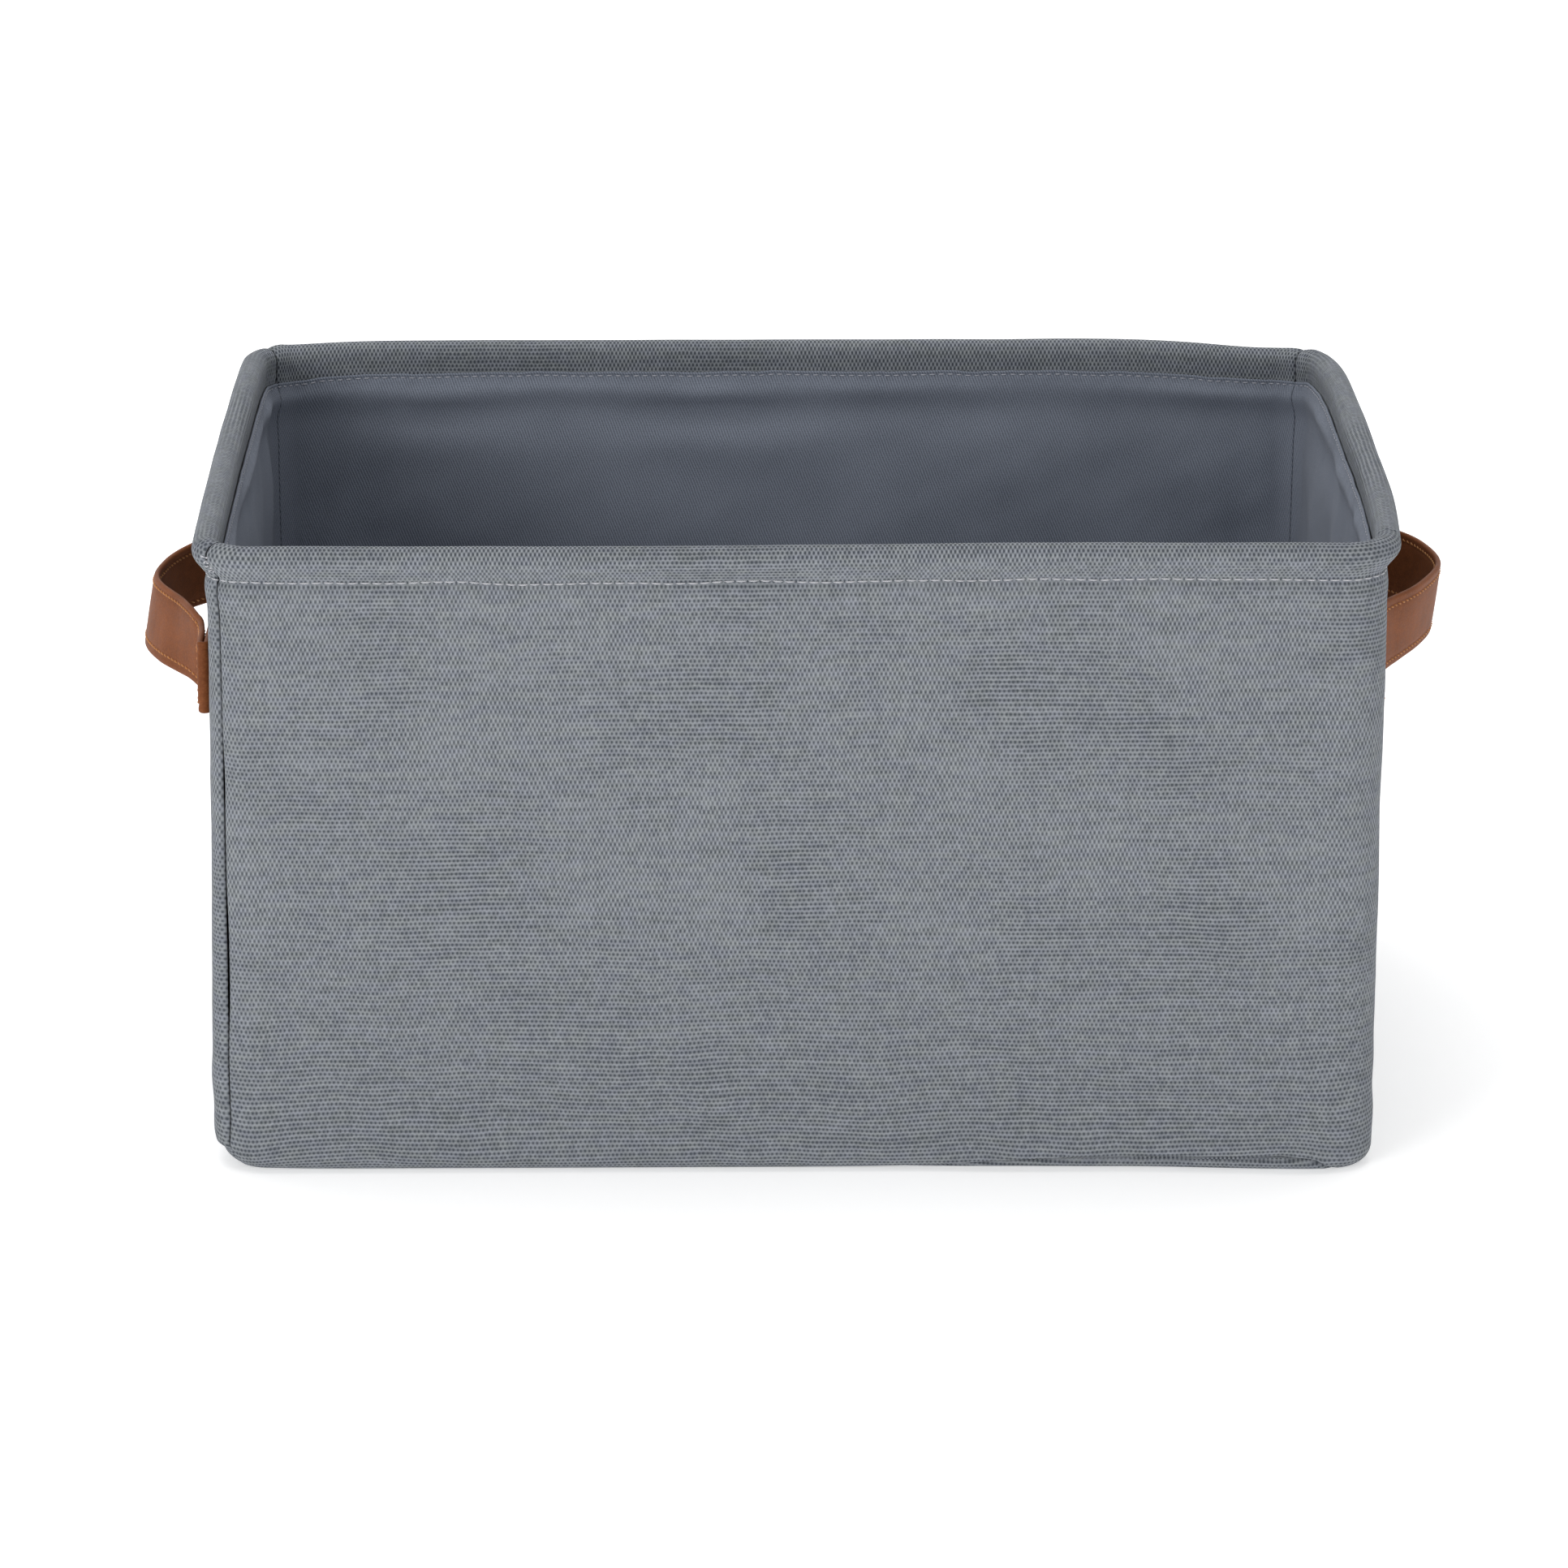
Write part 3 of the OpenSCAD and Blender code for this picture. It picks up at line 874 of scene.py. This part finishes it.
def canvas_panel(side):
    """One wall's canvas, from its base seam to the edge of the hem inside."""
    first, last = PANELS[side]
    foot = np.linspace(0, 1, 16)
    rows = panel_rows()
    edge_ease = 5 * MM
    length = float(last(0.1) - first(0.1))
    columns = spaced(0, length, 2.05 * MM, [0, length], edge_ease, 0.28 * MM) / length
    points, uv = [], []
    for f in foot[:-1]:
        s = first(0.0) + (last(0.0) - first(0.0)) * columns
        low = base_seam(s)
        t = low + (T_FOOT - low) * f
        points.append(canvas_surface(s, t, SEAM_TUCK * (f == 0)))
        uv.append(weave_at(s, t))
    for t in rows:
        _, z = CANVAS.at(t)
        s = first(z) + (last(z) - first(z)) * columns
        points.append(canvas_surface(s, np.full_like(s, t)))
        uv.append(weave_at(s, np.full_like(s, t)))
    piece = cloth_object(side + "_canvas", np.array(points), np.array(uv), CANVAS_T, MATERIALS["canvas"])
    stand_in(piece, "shell", "canvas", side + "_panel")


def base_canvas():
    """The base panel: it meets the walls at the base seam, and its middle is drawn up a little."""
    s = np.linspace(0, ROUND, 560, endpoint=False)
    low = base_seam(s)
    up_rings = 8
    points = []
    for f in np.linspace(1, 0, up_rings):
        points.append(canvas_surface(s, low * f, SEAM_TUCK * (f == 1)))
    edge = points[-1].copy()
    for share in (0.995, 0.98, 0.95, 0.9, 0.8, 0.65, 0.5, 0.35, 0.2, 0.08, 0.01):
        ring = edge * share
        ring[:, 2] = 0.5 * MM * (1 - share) ** 0.5
        points.append(ring)
    points = np.array(points)
    upper = points.copy()
    upper[..., 2] += CANVAS_T
    upper[:up_rings, :, :2] *= 1 - CANVAS_T / HALF_W
    uv = np.concatenate([points, upper])[..., :2] + 0.5
    for ring in range(up_rings):
        level = low * (up_rings - 1 - ring) / (up_rings - 1)
        uv[ring] = np.stack([np.mod(s - BACK_MID, ROUND), level], -1)
    piece = ring_sheet("base_canvas", points, upper, uv.reshape(-1, 2), MATERIALS["canvas"], True)
    stand_in(piece, "shell", "canvas", "base_panel")


def on_surface(surface, s, t):
    """Points of a cloth's surface, and its unit outward directions there."""
    on = surface(s, t)
    normal = surface(s, t, 1 * MM) - on
    return on, normal / np.linalg.norm(normal, axis=1, keepdims=True)


def hem_stitches():
    """The line of stitches round the hem, on its outside, with the tacks at the front left seam."""
    count = round(ROUND / STITCH_PITCH)
    s = np.arange(count + 1) * ROUND / count
    draw = np.random.RandomState(11)
    wander = 0.4 * MM * soft_noise(s, 0 * s, 0.06, 12) + draw.uniform(-0.08, 0.08, count + 1) * MM
    on, normal = on_surface(canvas_surface, s, T_STITCH + wander)
    rows = [(on + normal * 0.1 * MM, normal)] + seam_tacks()
    piece = stitches("hem_stitches", rows, 0.33 * MM, MATERIALS["canvas_thread"], cover=0.84, rise=0.2 * MM)
    stand_in(piece, "shell", "canvas_thread", "rim_thread")


def seam_tacks():
    """Ends of thread that hold the bunched seam over the rim at the front left."""
    rows = []
    draw = np.random.RandomState(13)
    for t in np.linspace(T_STITCH + 3 * MM, T_TOP + 3 * MM, 4):
        _, z = CANVAS.at(t)
        middle = float(seam_front_left(z))
        left, right = draw.uniform(1.2, 2.2, 2) * MM
        s = np.array([middle - left, middle, middle + right])
        tt = t + draw.uniform(-0.7, 0.7, 3) * MM
        on, normal = on_surface(canvas_surface, s, tt)
        on[1] += normal[1] * 0.9 * MM
        rows.append((on, normal))
    return rows


def lining_stitches():
    """The dark line of stitches along the lining's top edge."""
    count = round(ROUND / (3.4 * MM))
    s = np.arange(count + 1) * ROUND / count
    s[-1] -= 1e-6
    on, normal = on_surface(lining_surface, s, np.full_like(s, T_LINING_STITCH))
    piece = stitches("lining_stitches", [(on, normal)], 0.26 * MM, MATERIALS["lining_thread"],
                     rise=0.14 * MM)
    stand_in(piece, "shell", "canvas_thread", "rim_thread")


def rim_wire():
    """The steel ring inside the roll, which follows the bow of the rim."""
    s = np.arange(0, ROUND, 3 * MM)
    path = place(s, 0 * s, np.full_like(s, RIM_Z))
    _, _, nx, ny = way_round(s)
    right = np.stack([nx, ny, 0 * nx], -1)
    up = np.tile([0.0, 0.0, 1.0], (len(s), 1))
    a = np.linspace(0, 2 * math.pi, 16, endpoint=False)
    ring = np.stack([np.cos(a), np.sin(a)], -1) * WIRE_R
    piece = sweep("rim_ring", path, ring, right, up, MATERIALS["steel"], closed=True)
    stand_in(piece, "shell", "steel", "rim_wire")


# ---- Lining ----

LINING_FOOT_R = 6.6 * MM
LINING_FOOT_Z = 1.9 * MM
LINING_OUT = -4.4 * MM
LINING_TOP_Z = 214.2 * MM
LINING_FOLD_R = 0.6 * MM


def lining_profile():
    """From the turned-in top edge, which laps over the canvas hem, down the wall to the base."""
    bend = (LINING_OUT - LINING_FOOT_R, LINING_FOOT_Z + LINING_FOOT_R)
    fold = (-RIM_R + 0.3 * MM - LINING_FOLD_R, LINING_TOP_Z - LINING_FOLD_R)
    on_wall = (LINING_OUT - 0.3 * MM, fold[1] - 18 * MM)
    points = [(fold[0] + LINING_FOLD_R, fold[1] - 4 * MM)]
    points += arc(fold[0], fold[1], LINING_FOLD_R, 0, 180, 9)
    points += hermite((fold[0] - LINING_FOLD_R, fold[1]), (0, -12 * MM), on_wall, (0, -12 * MM), 9)[1:]
    points += [(LINING_OUT, z) for z in np.arange(on_wall[1] - 2 * MM, bend[1], -2 * MM)]
    points += arc(bend[0], bend[1], LINING_FOOT_R, 0, -90)
    points += [(bend[0] - 2 * MM, LINING_FOOT_Z)]
    return Profile(points)


LINING = lining_profile()
T_LINING_TOP = 4 * MM + math.pi / 2 * LINING_FOLD_R
T_LINING_STITCH = 4 * MM + math.pi * LINING_FOLD_R + 0.9 * MM
LINING_SEAMS = {"front": (0.0, CORNER_FR), "right": (CORNER_FR, CORNER_BR),
                "back": (CORNER_BR, CORNER_BL), "left": (CORNER_BL, ROUND)}

# Where the lining stands off its wall or is drawn to it: x, z, half width, half height, slant, how far.
# x runs along the wall from its middle, to the right as seen from the front (from the left for side walls).
BACK_FOLDS = (
    (-27, 197, 26, 4.5, 0.0, -2.6), (-133, 197, 22, 4.0, 0.0, -2.2), (60, 198, 60, 4.5, 0.0, -0.7),
    (-27, 204.5, 30, 3.2, 0.0, 1.2), (-133, 204.5, 24, 3.2, 0.0, 1.0),
    (-30, 186, 48, 8, 0.0, 1.3), (-128, 185, 30, 8, 0.1, 1.1),
    (-172, 150, 6, 46, 0.25, 1.6), (-160, 150, 7, 50, 0.25, -1.4), (-120, 140, 22, 60, 0.2, 0.7),
    (20, 150, 60, 34, 0.0, 0.6), (118, 130, 16, 70, -0.1, -0.8), (80, 120, 22, 70, -0.1, 0.6),
    (150, 180, 26, 20, -0.3, 0.8), (176, 140, 8, 60, -0.1, -0.9),
)
RIGHT_FOLDS = (
    (-60, 160, 8, 60, 0.1, 1.4), (-42, 160, 7, 60, 0.1, -1.0), (20, 165, 12, 60, -0.1, 1.3),
    (48, 160, 9, 60, 0.0, -0.9), (88, 160, 14, 60, 0.1, 0.9),
)
LEFT_FOLDS = (
    (-104, 165, 10, 50, -0.25, 1.6), (-84, 165, 9, 50, -0.25, -1.2), (-30, 160, 16, 60, 0.0, 1.0),
    (30, 160, 18, 60, 0.1, -0.9), (84, 150, 16, 60, 0.0, 1.0),
)


def lining_offset(s, t, z):
    """How far the lining billows into the bin."""
    below = LINING_TOP_Z - z
    middle = smoothstep(0, 60 * MM, z) * smoothstep(4 * MM, 34 * MM, below)
    corner = 0
    for at in CORNERS:
        corner = corner + bell(s, at, 12 * MM)
    d = middle * (1.3 + 0.9 * soft_noise(s, z, 0.12, 21) + 0.3 * soft_noise(s, z, 0.04, 22)) * MM
    d = d * (1 - 0.8 * np.clip(corner, 0, 1))
    # A ridge where the lining turns over the top of the boards, and a hollow under it
    crest = 0.8 + 0.35 * soft_noise(s, 0 * s, 0.13, 23)
    d = d + crest * MM * (1.5 * bell(below, 7 * MM, 4 * MM) - 0.8 * bell(below, 15.5 * MM, 5 * MM))
    for mid, folds in ((BACK_MID, BACK_FOLDS), (RIGHT_MID, RIGHT_FOLDS), (LEFT_MID, LEFT_FOLDS)):
        for x, height, half_w, half_h, slant, amount in folds:
            rise = z - height * MM
            along = ((mid - s) if mid == BACK_MID else (s - mid)) - x * MM - slant * rise
            d = d + amount * MM * bell(along, 0, half_w * MM) * bell(rise, 0, half_h * MM)
    d = np.clip(d, -0.9 * MM, 3.4 * MM) * smoothstep(1.5 * MM, 6 * MM, below)
    on_front = t > T_LINING_TOP
    # Its stitches pull the edge in, and pucker it
    pull = 0.35 + 0.2 * np.sin(2 * math.pi * s / (7 * MM) + 2 * soft_noise(s, 0 * s, 0.03, 24))
    d = d - np.where(on_front, pull * MM * bell(t, T_LINING_STITCH, 0.8 * MM), 0)
    ripple = bell(below, 4 * MM, 2 * MM) * np.sin(2 * math.pi * s / (9 * MM))
    d = d + np.where(on_front, 0.25 * MM * ripple, 0)
    return d


def lining_drop(s):
    """How far the lining's top edge runs below its level."""
    wave = 0.35 * soft_noise(s, 0 * s, 0.05, 25) + 0.25 * soft_noise(s, 0 * s, 0.018, 26)
    return (wave - 0.4 - 1.6 * bell(s, CORNER_BL, 26 * MM) + 0.5 * bell(s, BACK_MID, 120 * MM)) * MM


def lining_surface(s, t, extra=0.0):
    out, z = LINING.at(t)
    face_out, face_z = LINING.facing(t)
    lip = 1.0 * MM
    depth = 0
    for at in CORNERS:
        inside = np.clip(1 - np.abs(s - at) / lip, 0, 1)
        depth = depth + 0.5 * lip * (1 - np.sqrt(np.maximum(1 - inside**2, 0)))
    # The profile runs downward, so its outward side is towards the inside of the bin
    d = lining_offset(s, t, z) - depth + extra
    drop = lining_drop(s) * smoothstep(LINING_TOP_Z - 30 * MM, LINING_TOP_Z - 8 * MM, z)
    return place(s, out + face_out * d, z + face_z * d + drop)


def lining_panel(side):
    first, last = LINING_SEAMS[side]
    length = last - first
    s = first + spaced(0, length, 2.6 * MM, [0, length], 4 * MM, 0.3 * MM)
    fine = [T_LINING_TOP, T_LINING_STITCH, LINING.end - 6 * MM]
    t = spaced(0, LINING.end, 2.6 * MM, fine, 9 * MM, 0.22 * MM)
    # The columns run along the wall and the rows down it, so that the face towards the inside of the bin is
    # the outer one
    ss, tt = np.meshgrid(s, t)
    points = lining_surface(ss, tt)
    uv = np.stack([ss, tt], -1)
    piece = cloth_object(side + "_lining_cloth", points, uv, LINING_T, MATERIALS["lining"])
    stand_in(piece, "shell", "lining", side + "_lining")


def base_lining():
    """The lining's floor, under the base insert."""
    s = np.linspace(0, ROUND, 400, endpoint=False)
    edge = lining_surface(s, np.full_like(s, LINING.end))
    points = []
    for share in (1, 0.97, 0.9, 0.75, 0.5, 0.25, 0.02):
        ring = edge * share
        ring[:, 2] = LINING_FOOT_Z
        points.append(ring)
    points = np.array(points)
    lower = points.copy()
    lower[..., 2] -= LINING_T
    uv = np.concatenate([points, lower])[..., :2].reshape(-1, 2) + 0.5
    piece = ring_sheet("base_lining_cloth", points, lower, uv, MATERIALS["lining"], False)
    stand_in(piece, "shell", "lining", "base_lining")


def wall_board(side):
    """The stiffening board of a short wall, which bows with it."""
    low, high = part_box(side + "_board")
    mid = LEFT_MID if side == "left" else RIGHT_MID
    thickness = high.x - low.x
    face = HALF_W - max(abs(low.x), abs(high.x))
    s = np.linspace(mid + low.y, mid + high.y, 90)
    z = np.linspace(low.z, high.z, 70)
    ss, zz = np.meshgrid(s, z)
    points = place(ss, np.full_like(ss, -face), zz)
    points[..., 2] = np.minimum(points[..., 2], high.z)
    piece = cloth_object(side + "_wall_board", points, np.stack([ss, zz], -1), thickness, MATERIALS["board"])
    stand_in(piece, "shell", "board", side + "_board")


# ---- Strap handles ----

# Plan of each strap's loop, front to back: its middle line's distance out from the wall's plain face, and y
LEFT_LOOP = ((8.0, -59), (9.9, -55), (12.6, -49.5), (17.5, -39), (22.4, -29), (26.8, -18), (29.0, -9),
             (29.5, 0), (28.4, 10), (25.9, 22), (21.6, 34), (15.6, 45), (10.0, 54), (6.8, 61))
RIGHT_LOOP = ((7.6, -55), (11.5, -46), (16.5, -37.5), (22.4, -26.5), (27.3, -15), (31.0, -4), (32.6, 6),
              (31.8, 18), (28.9, 31), (25.4, 40), (19.8, 49), (12.6, 57), (7.6, 63))
# How far each sewn end's outer layer stands off the wall, at the front and the back
LEFT_STAND = (5.9 * MM, 3.6 * MM)
RIGHT_STAND = (2.9 * MM, 3.4 * MM)
SEWN_Y = (67, 73, 79, 85)
TURN_R = 1.15 * MM


def wall_out(side_x, y):
    """How far the wall itself stands out of its plain face behind a strap."""
    s = (RIGHT_MID + y) if side_x > 0 else (LEFT_MID - y)
    levels = STRAP_Z + np.linspace(-15, 13, 8) * MM
    return max(float(canvas_offset(s, T_FOOT + z - FOOT_R)) + abs(float(bow(side_x * HALF_W, y, z)))
               for z in levels)


def strap_plan(side_x):
    loop, stand = (RIGHT_LOOP, RIGHT_STAND) if side_x > 0 else (LEFT_LOOP, LEFT_STAND)
    front = [(wall_out(side_x, -y * MM) + stand[0], -y * MM) for y in reversed(SEWN_Y)]
    back = [(wall_out(side_x, y * MM) + stand[1], y * MM) for y in SEWN_Y]
    return front + [(out * MM, y * MM) for out, y in loop] + back


def smooth_line(points, step):
    """A curve through the points (Catmull-Rom), then evenly spaced."""
    p = np.array(points, float)
    p = np.vstack([2 * p[0] - p[1], p, 2 * p[-1] - p[-2]])
    line = []
    for i in range(1, len(p) - 2):
        for f in np.linspace(0, 1, 12, endpoint=False):
            line.append(0.5 * (2 * p[i] + (p[i + 1] - p[i - 1]) * f
                        + (2 * p[i - 1] - 5 * p[i] + 4 * p[i + 1] - p[i + 2]) * f**2
                        + (3 * p[i] - p[i - 1] - 3 * p[i + 1] + p[i + 2]) * f**3))
    line.append(p[-2])
    line = np.array(line)
    along = run_length(line)
    at = np.linspace(0, along[-1], int(along[-1] / step) + 1)
    return np.stack([np.interp(at, along, line[:, k]) for k in range(line.shape[1])], -1)


def turned_under(out, y, side):
    """The strap's end doubles back beneath itself, next to the wall."""
    centre_out = out - TURN_R
    points = []
    for angle in np.linspace(90, -90, 9):
        a = math.radians(angle)
        points.append((centre_out + TURN_R * math.sin(a), y + side * TURN_R * math.cos(a)))
    points.append((centre_out - TURN_R, y - side * 8 * MM))
    points.append((centre_out - TURN_R, y - side * 22 * MM))
    return points


def strap_frame(side_x):
    """The strap's middle line and its directions: across (up the wall) and away (out of its face)."""
    line = strap_plan(side_x)
    ends = [turned_under(*line[0], -1), turned_under(*line[-1], 1)]
    outline = smooth_line(ends[0][::-1] + line[1:-1] + ends[1], 0.9 * MM)
    out, y = outline[:, 0], outline[:, 1]
    tangent = np.gradient(outline, axis=0)
    tangent /= np.linalg.norm(tangent, axis=1, keepdims=True)
    away = np.stack([side_x * tangent[:, 1], -tangent[:, 0], 0 * y], -1)
    loop = smoothstep(7 * MM, 22 * MM, out)
    # The left strap's lower edge stands out, and the right one's is drawn in
    tilt = np.radians(9.0 + 4.0 * bell(y, -35 * MM, 18 * MM) if side_x < 0 else -7.0) * loop
    up = np.tile([0.0, 0.0, 1.0], (len(y), 1))
    across = up * np.cos(tilt)[:, None] - away * np.sin(tilt)[:, None]
    away = away * np.cos(tilt)[:, None] + up * np.sin(tilt)[:, None]
    rise = (1.6 if side_x > 0 else 0.5) * MM
    z = STRAP_Z + rise - 2.6 * MM * smoothstep(48 * MM, 66 * MM, np.abs(y))
    return np.stack([side_x * (HALF_W + out), y, z], -1), across, away


def strap_ring(width, thickness, groove=0.0):
    """Cross-section of the strap: x across, y away, with rounded edges and a dip under each stitch line."""
    half, r = width / 2, thickness / 2
    x = np.linspace(-half + r, half - r, 34)
    dip = groove * bell(np.abs(x), half - 3 * MM, 0.8 * MM)
    crown = 0.12 * MM * (1 - (x / half) ** 2) if groove else 0 * x
    top = np.stack([x, r - dip + crown], -1)
    a = np.radians(np.linspace(75, -75, 7))
    right = np.stack([half - r + r * np.cos(a), r * np.sin(a)], -1)
    bottom = np.stack([x[::-1], -r + dip[::-1] - crown[::-1]], -1)
    left = np.stack([-half + r - r * np.cos(a[::-1]), r * np.sin(a[::-1])], -1)
    return np.concatenate([top, right, bottom, left])


def strap_rows(line, across, away, pitch):
    """Points along both faces of the strap, 3 mm in from each edge."""
    along = run_length(line)
    count = int((along[-1] - 6 * MM) / pitch)
    at = 3 * MM + np.arange(count + 1) * pitch

    def read(values):
        return np.stack([np.interp(at, along, values[:, k]) for k in range(3)], -1)

    middle, up, face = read(line), read(across), read(away)
    rows = []
    for edge in (-1, 1):
        for side in (-1, 1):
            point = middle + up * edge * (STRAP_W / 2 - 3 * MM) + face * side * (STRAP_T / 2 - 0.1 * MM)
            rows.append((point, face * side))
    return rows


def strap(side, side_x):
    """A strap handle: leather, filler and stitches, swept along one fixed curve from the wall round the
    loop.
    """
    line, across, away = strap_frame(side_x)
    leather = sweep(side + "_leather_strap", line, strap_ring(STRAP_W, STRAP_T, 0.28 * MM), across, away,
                    MATERIALS["strap_leather"])
    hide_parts(side + "_strap", side + "_front_strap_end", side + "_rear_strap_end")
    core = sweep(side + "_strap_filler", line, strap_ring(FILLER_W, FILLER_T), across, away,
                 MATERIALS["strap_core"])
    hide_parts(side + "_strap_core")
    thread = stitches(side + "_strap_stitches", strap_rows(line, across, away, 2.8 * MM), 0.34 * MM,
                      MATERIALS["strap_thread"], cover=0.62, rise=0.2 * MM, lean=0.35)
    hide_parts(side + "_strap_thread")
    for piece in (leather, core, thread):
        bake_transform(piece)


def strap_end_stitches():
    """The stitches that hold each strap end: two upright rows across it."""
    rows = []
    for side_x in (-1, 1):
        line, across, away = strap_frame(side_x)
        outer = away[:, 0] * side_x > 0
        for y in (-82, -64, 64, 82):
            k = int(np.argmin(np.abs(line[:, 1] - y * MM) + np.where(outer, 0, 1)))
            f = np.linspace(-STRAP_W / 2 + 3 * MM, STRAP_W / 2 - 3 * MM, 8)
            points = line[k] + across[k] * f[:, None] + away[k] * (STRAP_T / 2 + 0.02 * MM)
            rows.append((points, np.tile(away[k], (len(f), 1))))
    piece = stitches("strap_end_stitches", rows, 0.3 * MM, MATERIALS["strap_thread"], rise=0.16 * MM)
    stand_in(piece, "shell", "strap_thread", "strap_end_thread")


# ---- Base insert ----


INSERT_CORNER_R = 10 * MM


def rounded_outline(half_w, half_d, r):
    """Points round a rectangle with rounded corners."""
    points = []
    for turn, across, up in ((0, 1, 1), (90, -1, 1), (180, -1, -1), (270, 1, -1)):
        for a in np.radians(np.linspace(turn, turn + 90, 17)):
            points.append((across * (half_w - r) + r * math.cos(a), up * (half_d - r) + r * math.sin(a)))
    full = []
    for here, after in zip(points, points[1:] + points[:1]):
        pieces = max(1, round(math.dist(here, after) / (5 * MM)))
        full += [tuple(np.array(here) + (np.array(after) - here) * k / pieces) for k in range(pieces)]
    return np.array(full)


def insert_cover():
    """The board's cloth cover: slightly full faces and a sewn edge all round."""
    half_w, half_d = INSERT_HIGH.x, INSERT_HIGH.y
    low, high = INSERT_LOW.z, INSERT_HIGH.z
    middle, half_t = (low + high) / 2, (high - low) / 2
    outline = rounded_outline(half_w, half_d, INSERT_CORNER_R)
    count = len(outline)
    rings = []
    edge_steps = [math.radians(a) for a in (90, 60, 35, 12, 0, -12, -35, -60, -90)]
    for share in (0.02, 0.3, 0.6, 0.85, 0.95):
        z = high + 0.3 * MM * (1 - share) * soft_noise(outline[:, 0] * share, outline[:, 1] * share, 0.1, 31)
        rings.append(np.stack([*(outline * share).T, z], -1))
    for a in edge_steps:
        inset = half_t * (1 - math.cos(a)) + (0.25 * MM if a == 0 else 0)
        shrink = 1 - inset / np.array([half_w, half_d])
        z = np.full(count, middle + half_t * math.sin(a))
        rings.append(np.stack([*(outline * shrink).T, z], -1))
    for share in (0.95, 0.85, 0.6, 0.3, 0.02):
        rings.append(np.stack([*(outline * share).T, np.full(count, low)], -1))
    points = np.array(rings)
    rows = len(points)
    faces = grid_faces(rows, count, 0, True, True).tolist()
    faces.append(list(range(count)))
    faces.append([(rows - 1) * count + j for j in range(count)][::-1])
    flat = points.reshape(-1, 3)
    piece = mesh_object("insert_cloth_cover", flat, faces, flat[:, :2] + 0.5, MATERIALS["lining"])
    stand_in(piece, "base_insert", "lining", "insert_cover")


# ---- CAD nodes that stay, with better materials ----


def dress_cad_nodes():
    kept = {
        "board": ("front_board", "back_board", "insert_board"),
        "steel": ("rim_wire_sleeve",),
    }
    for slot, names in kept.items():
        for name in names:
            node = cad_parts[name]
            node.data.materials.clear()
            node.data.materials.append(MATERIALS[slot])


# ---- Studio ----


def studio():
    reach, back, rise = 6.0, 2.2, 1.2
    profile = [(-reach, 0.0), (back - rise, 0.0)]
    for a in np.linspace(0.1, 1.5, 14):
        profile.append((back - rise + rise * math.sin(a), rise - rise * math.cos(a)))
    profile.append((back, 5.0))
    points = [(x, y, z) for y, z in profile for x in (-reach, reach)]
    faces = [(2 * i, 2 * i + 1, 2 * i + 3, 2 * i + 2) for i in range(len(profile) - 1)]
    floor = mesh_object("studio_floor", points, faces, None, floor_material())
    world = bpy.data.worlds.new("studio")
    world.use_nodes = True
    world.node_tree.nodes["Background"].inputs[0].default_value = (1.0, 1.0, 1.0, 1)
    world.node_tree.nodes["Background"].inputs[1].default_value = WORLD_LIGHT
    bpy.context.scene.world = world
    for name, place_at, size, power in LIGHTS:
        data = bpy.data.lights.new(name, "AREA")
        data.shape = "RECTANGLE"
        data.size, data.size_y = size
        data.energy = power
        lamp = link(bpy.data.objects.new(name, data))
        lamp.location = place_at
        aim = Vector((0, 0, 0.12)) - Vector(place_at)
        lamp.rotation_euler = aim.to_track_quat("-Z", "Y").to_euler()
    bpy.context.scene.view_settings.view_transform = "Standard"


WORLD_LIGHT = 0.37
LIGHTS = (
    ("overhead", (-0.3, 0.2, 2.6), (2.4, 2.0), 31.0),
    ("key", (-1.55, -2.25, 0.95), (1.0, 0.8), 26.0),
    ("fill", (1.9, -2.0, 0.7), (0.8, 0.8), 10.0),
)

make_camera()
for wall in PANELS:
    canvas_panel(wall)
base_canvas()
hem_stitches()
lining_stitches()
rim_wire()
for wall in ("left", "right"):
    wall_board(wall)
for wall in LINING_SEAMS:
    lining_panel(wall)
base_lining()
strap("left", -1)
strap("right", 1)
strap_end_stitches()
insert_cover()
dress_cad_nodes()
studio()
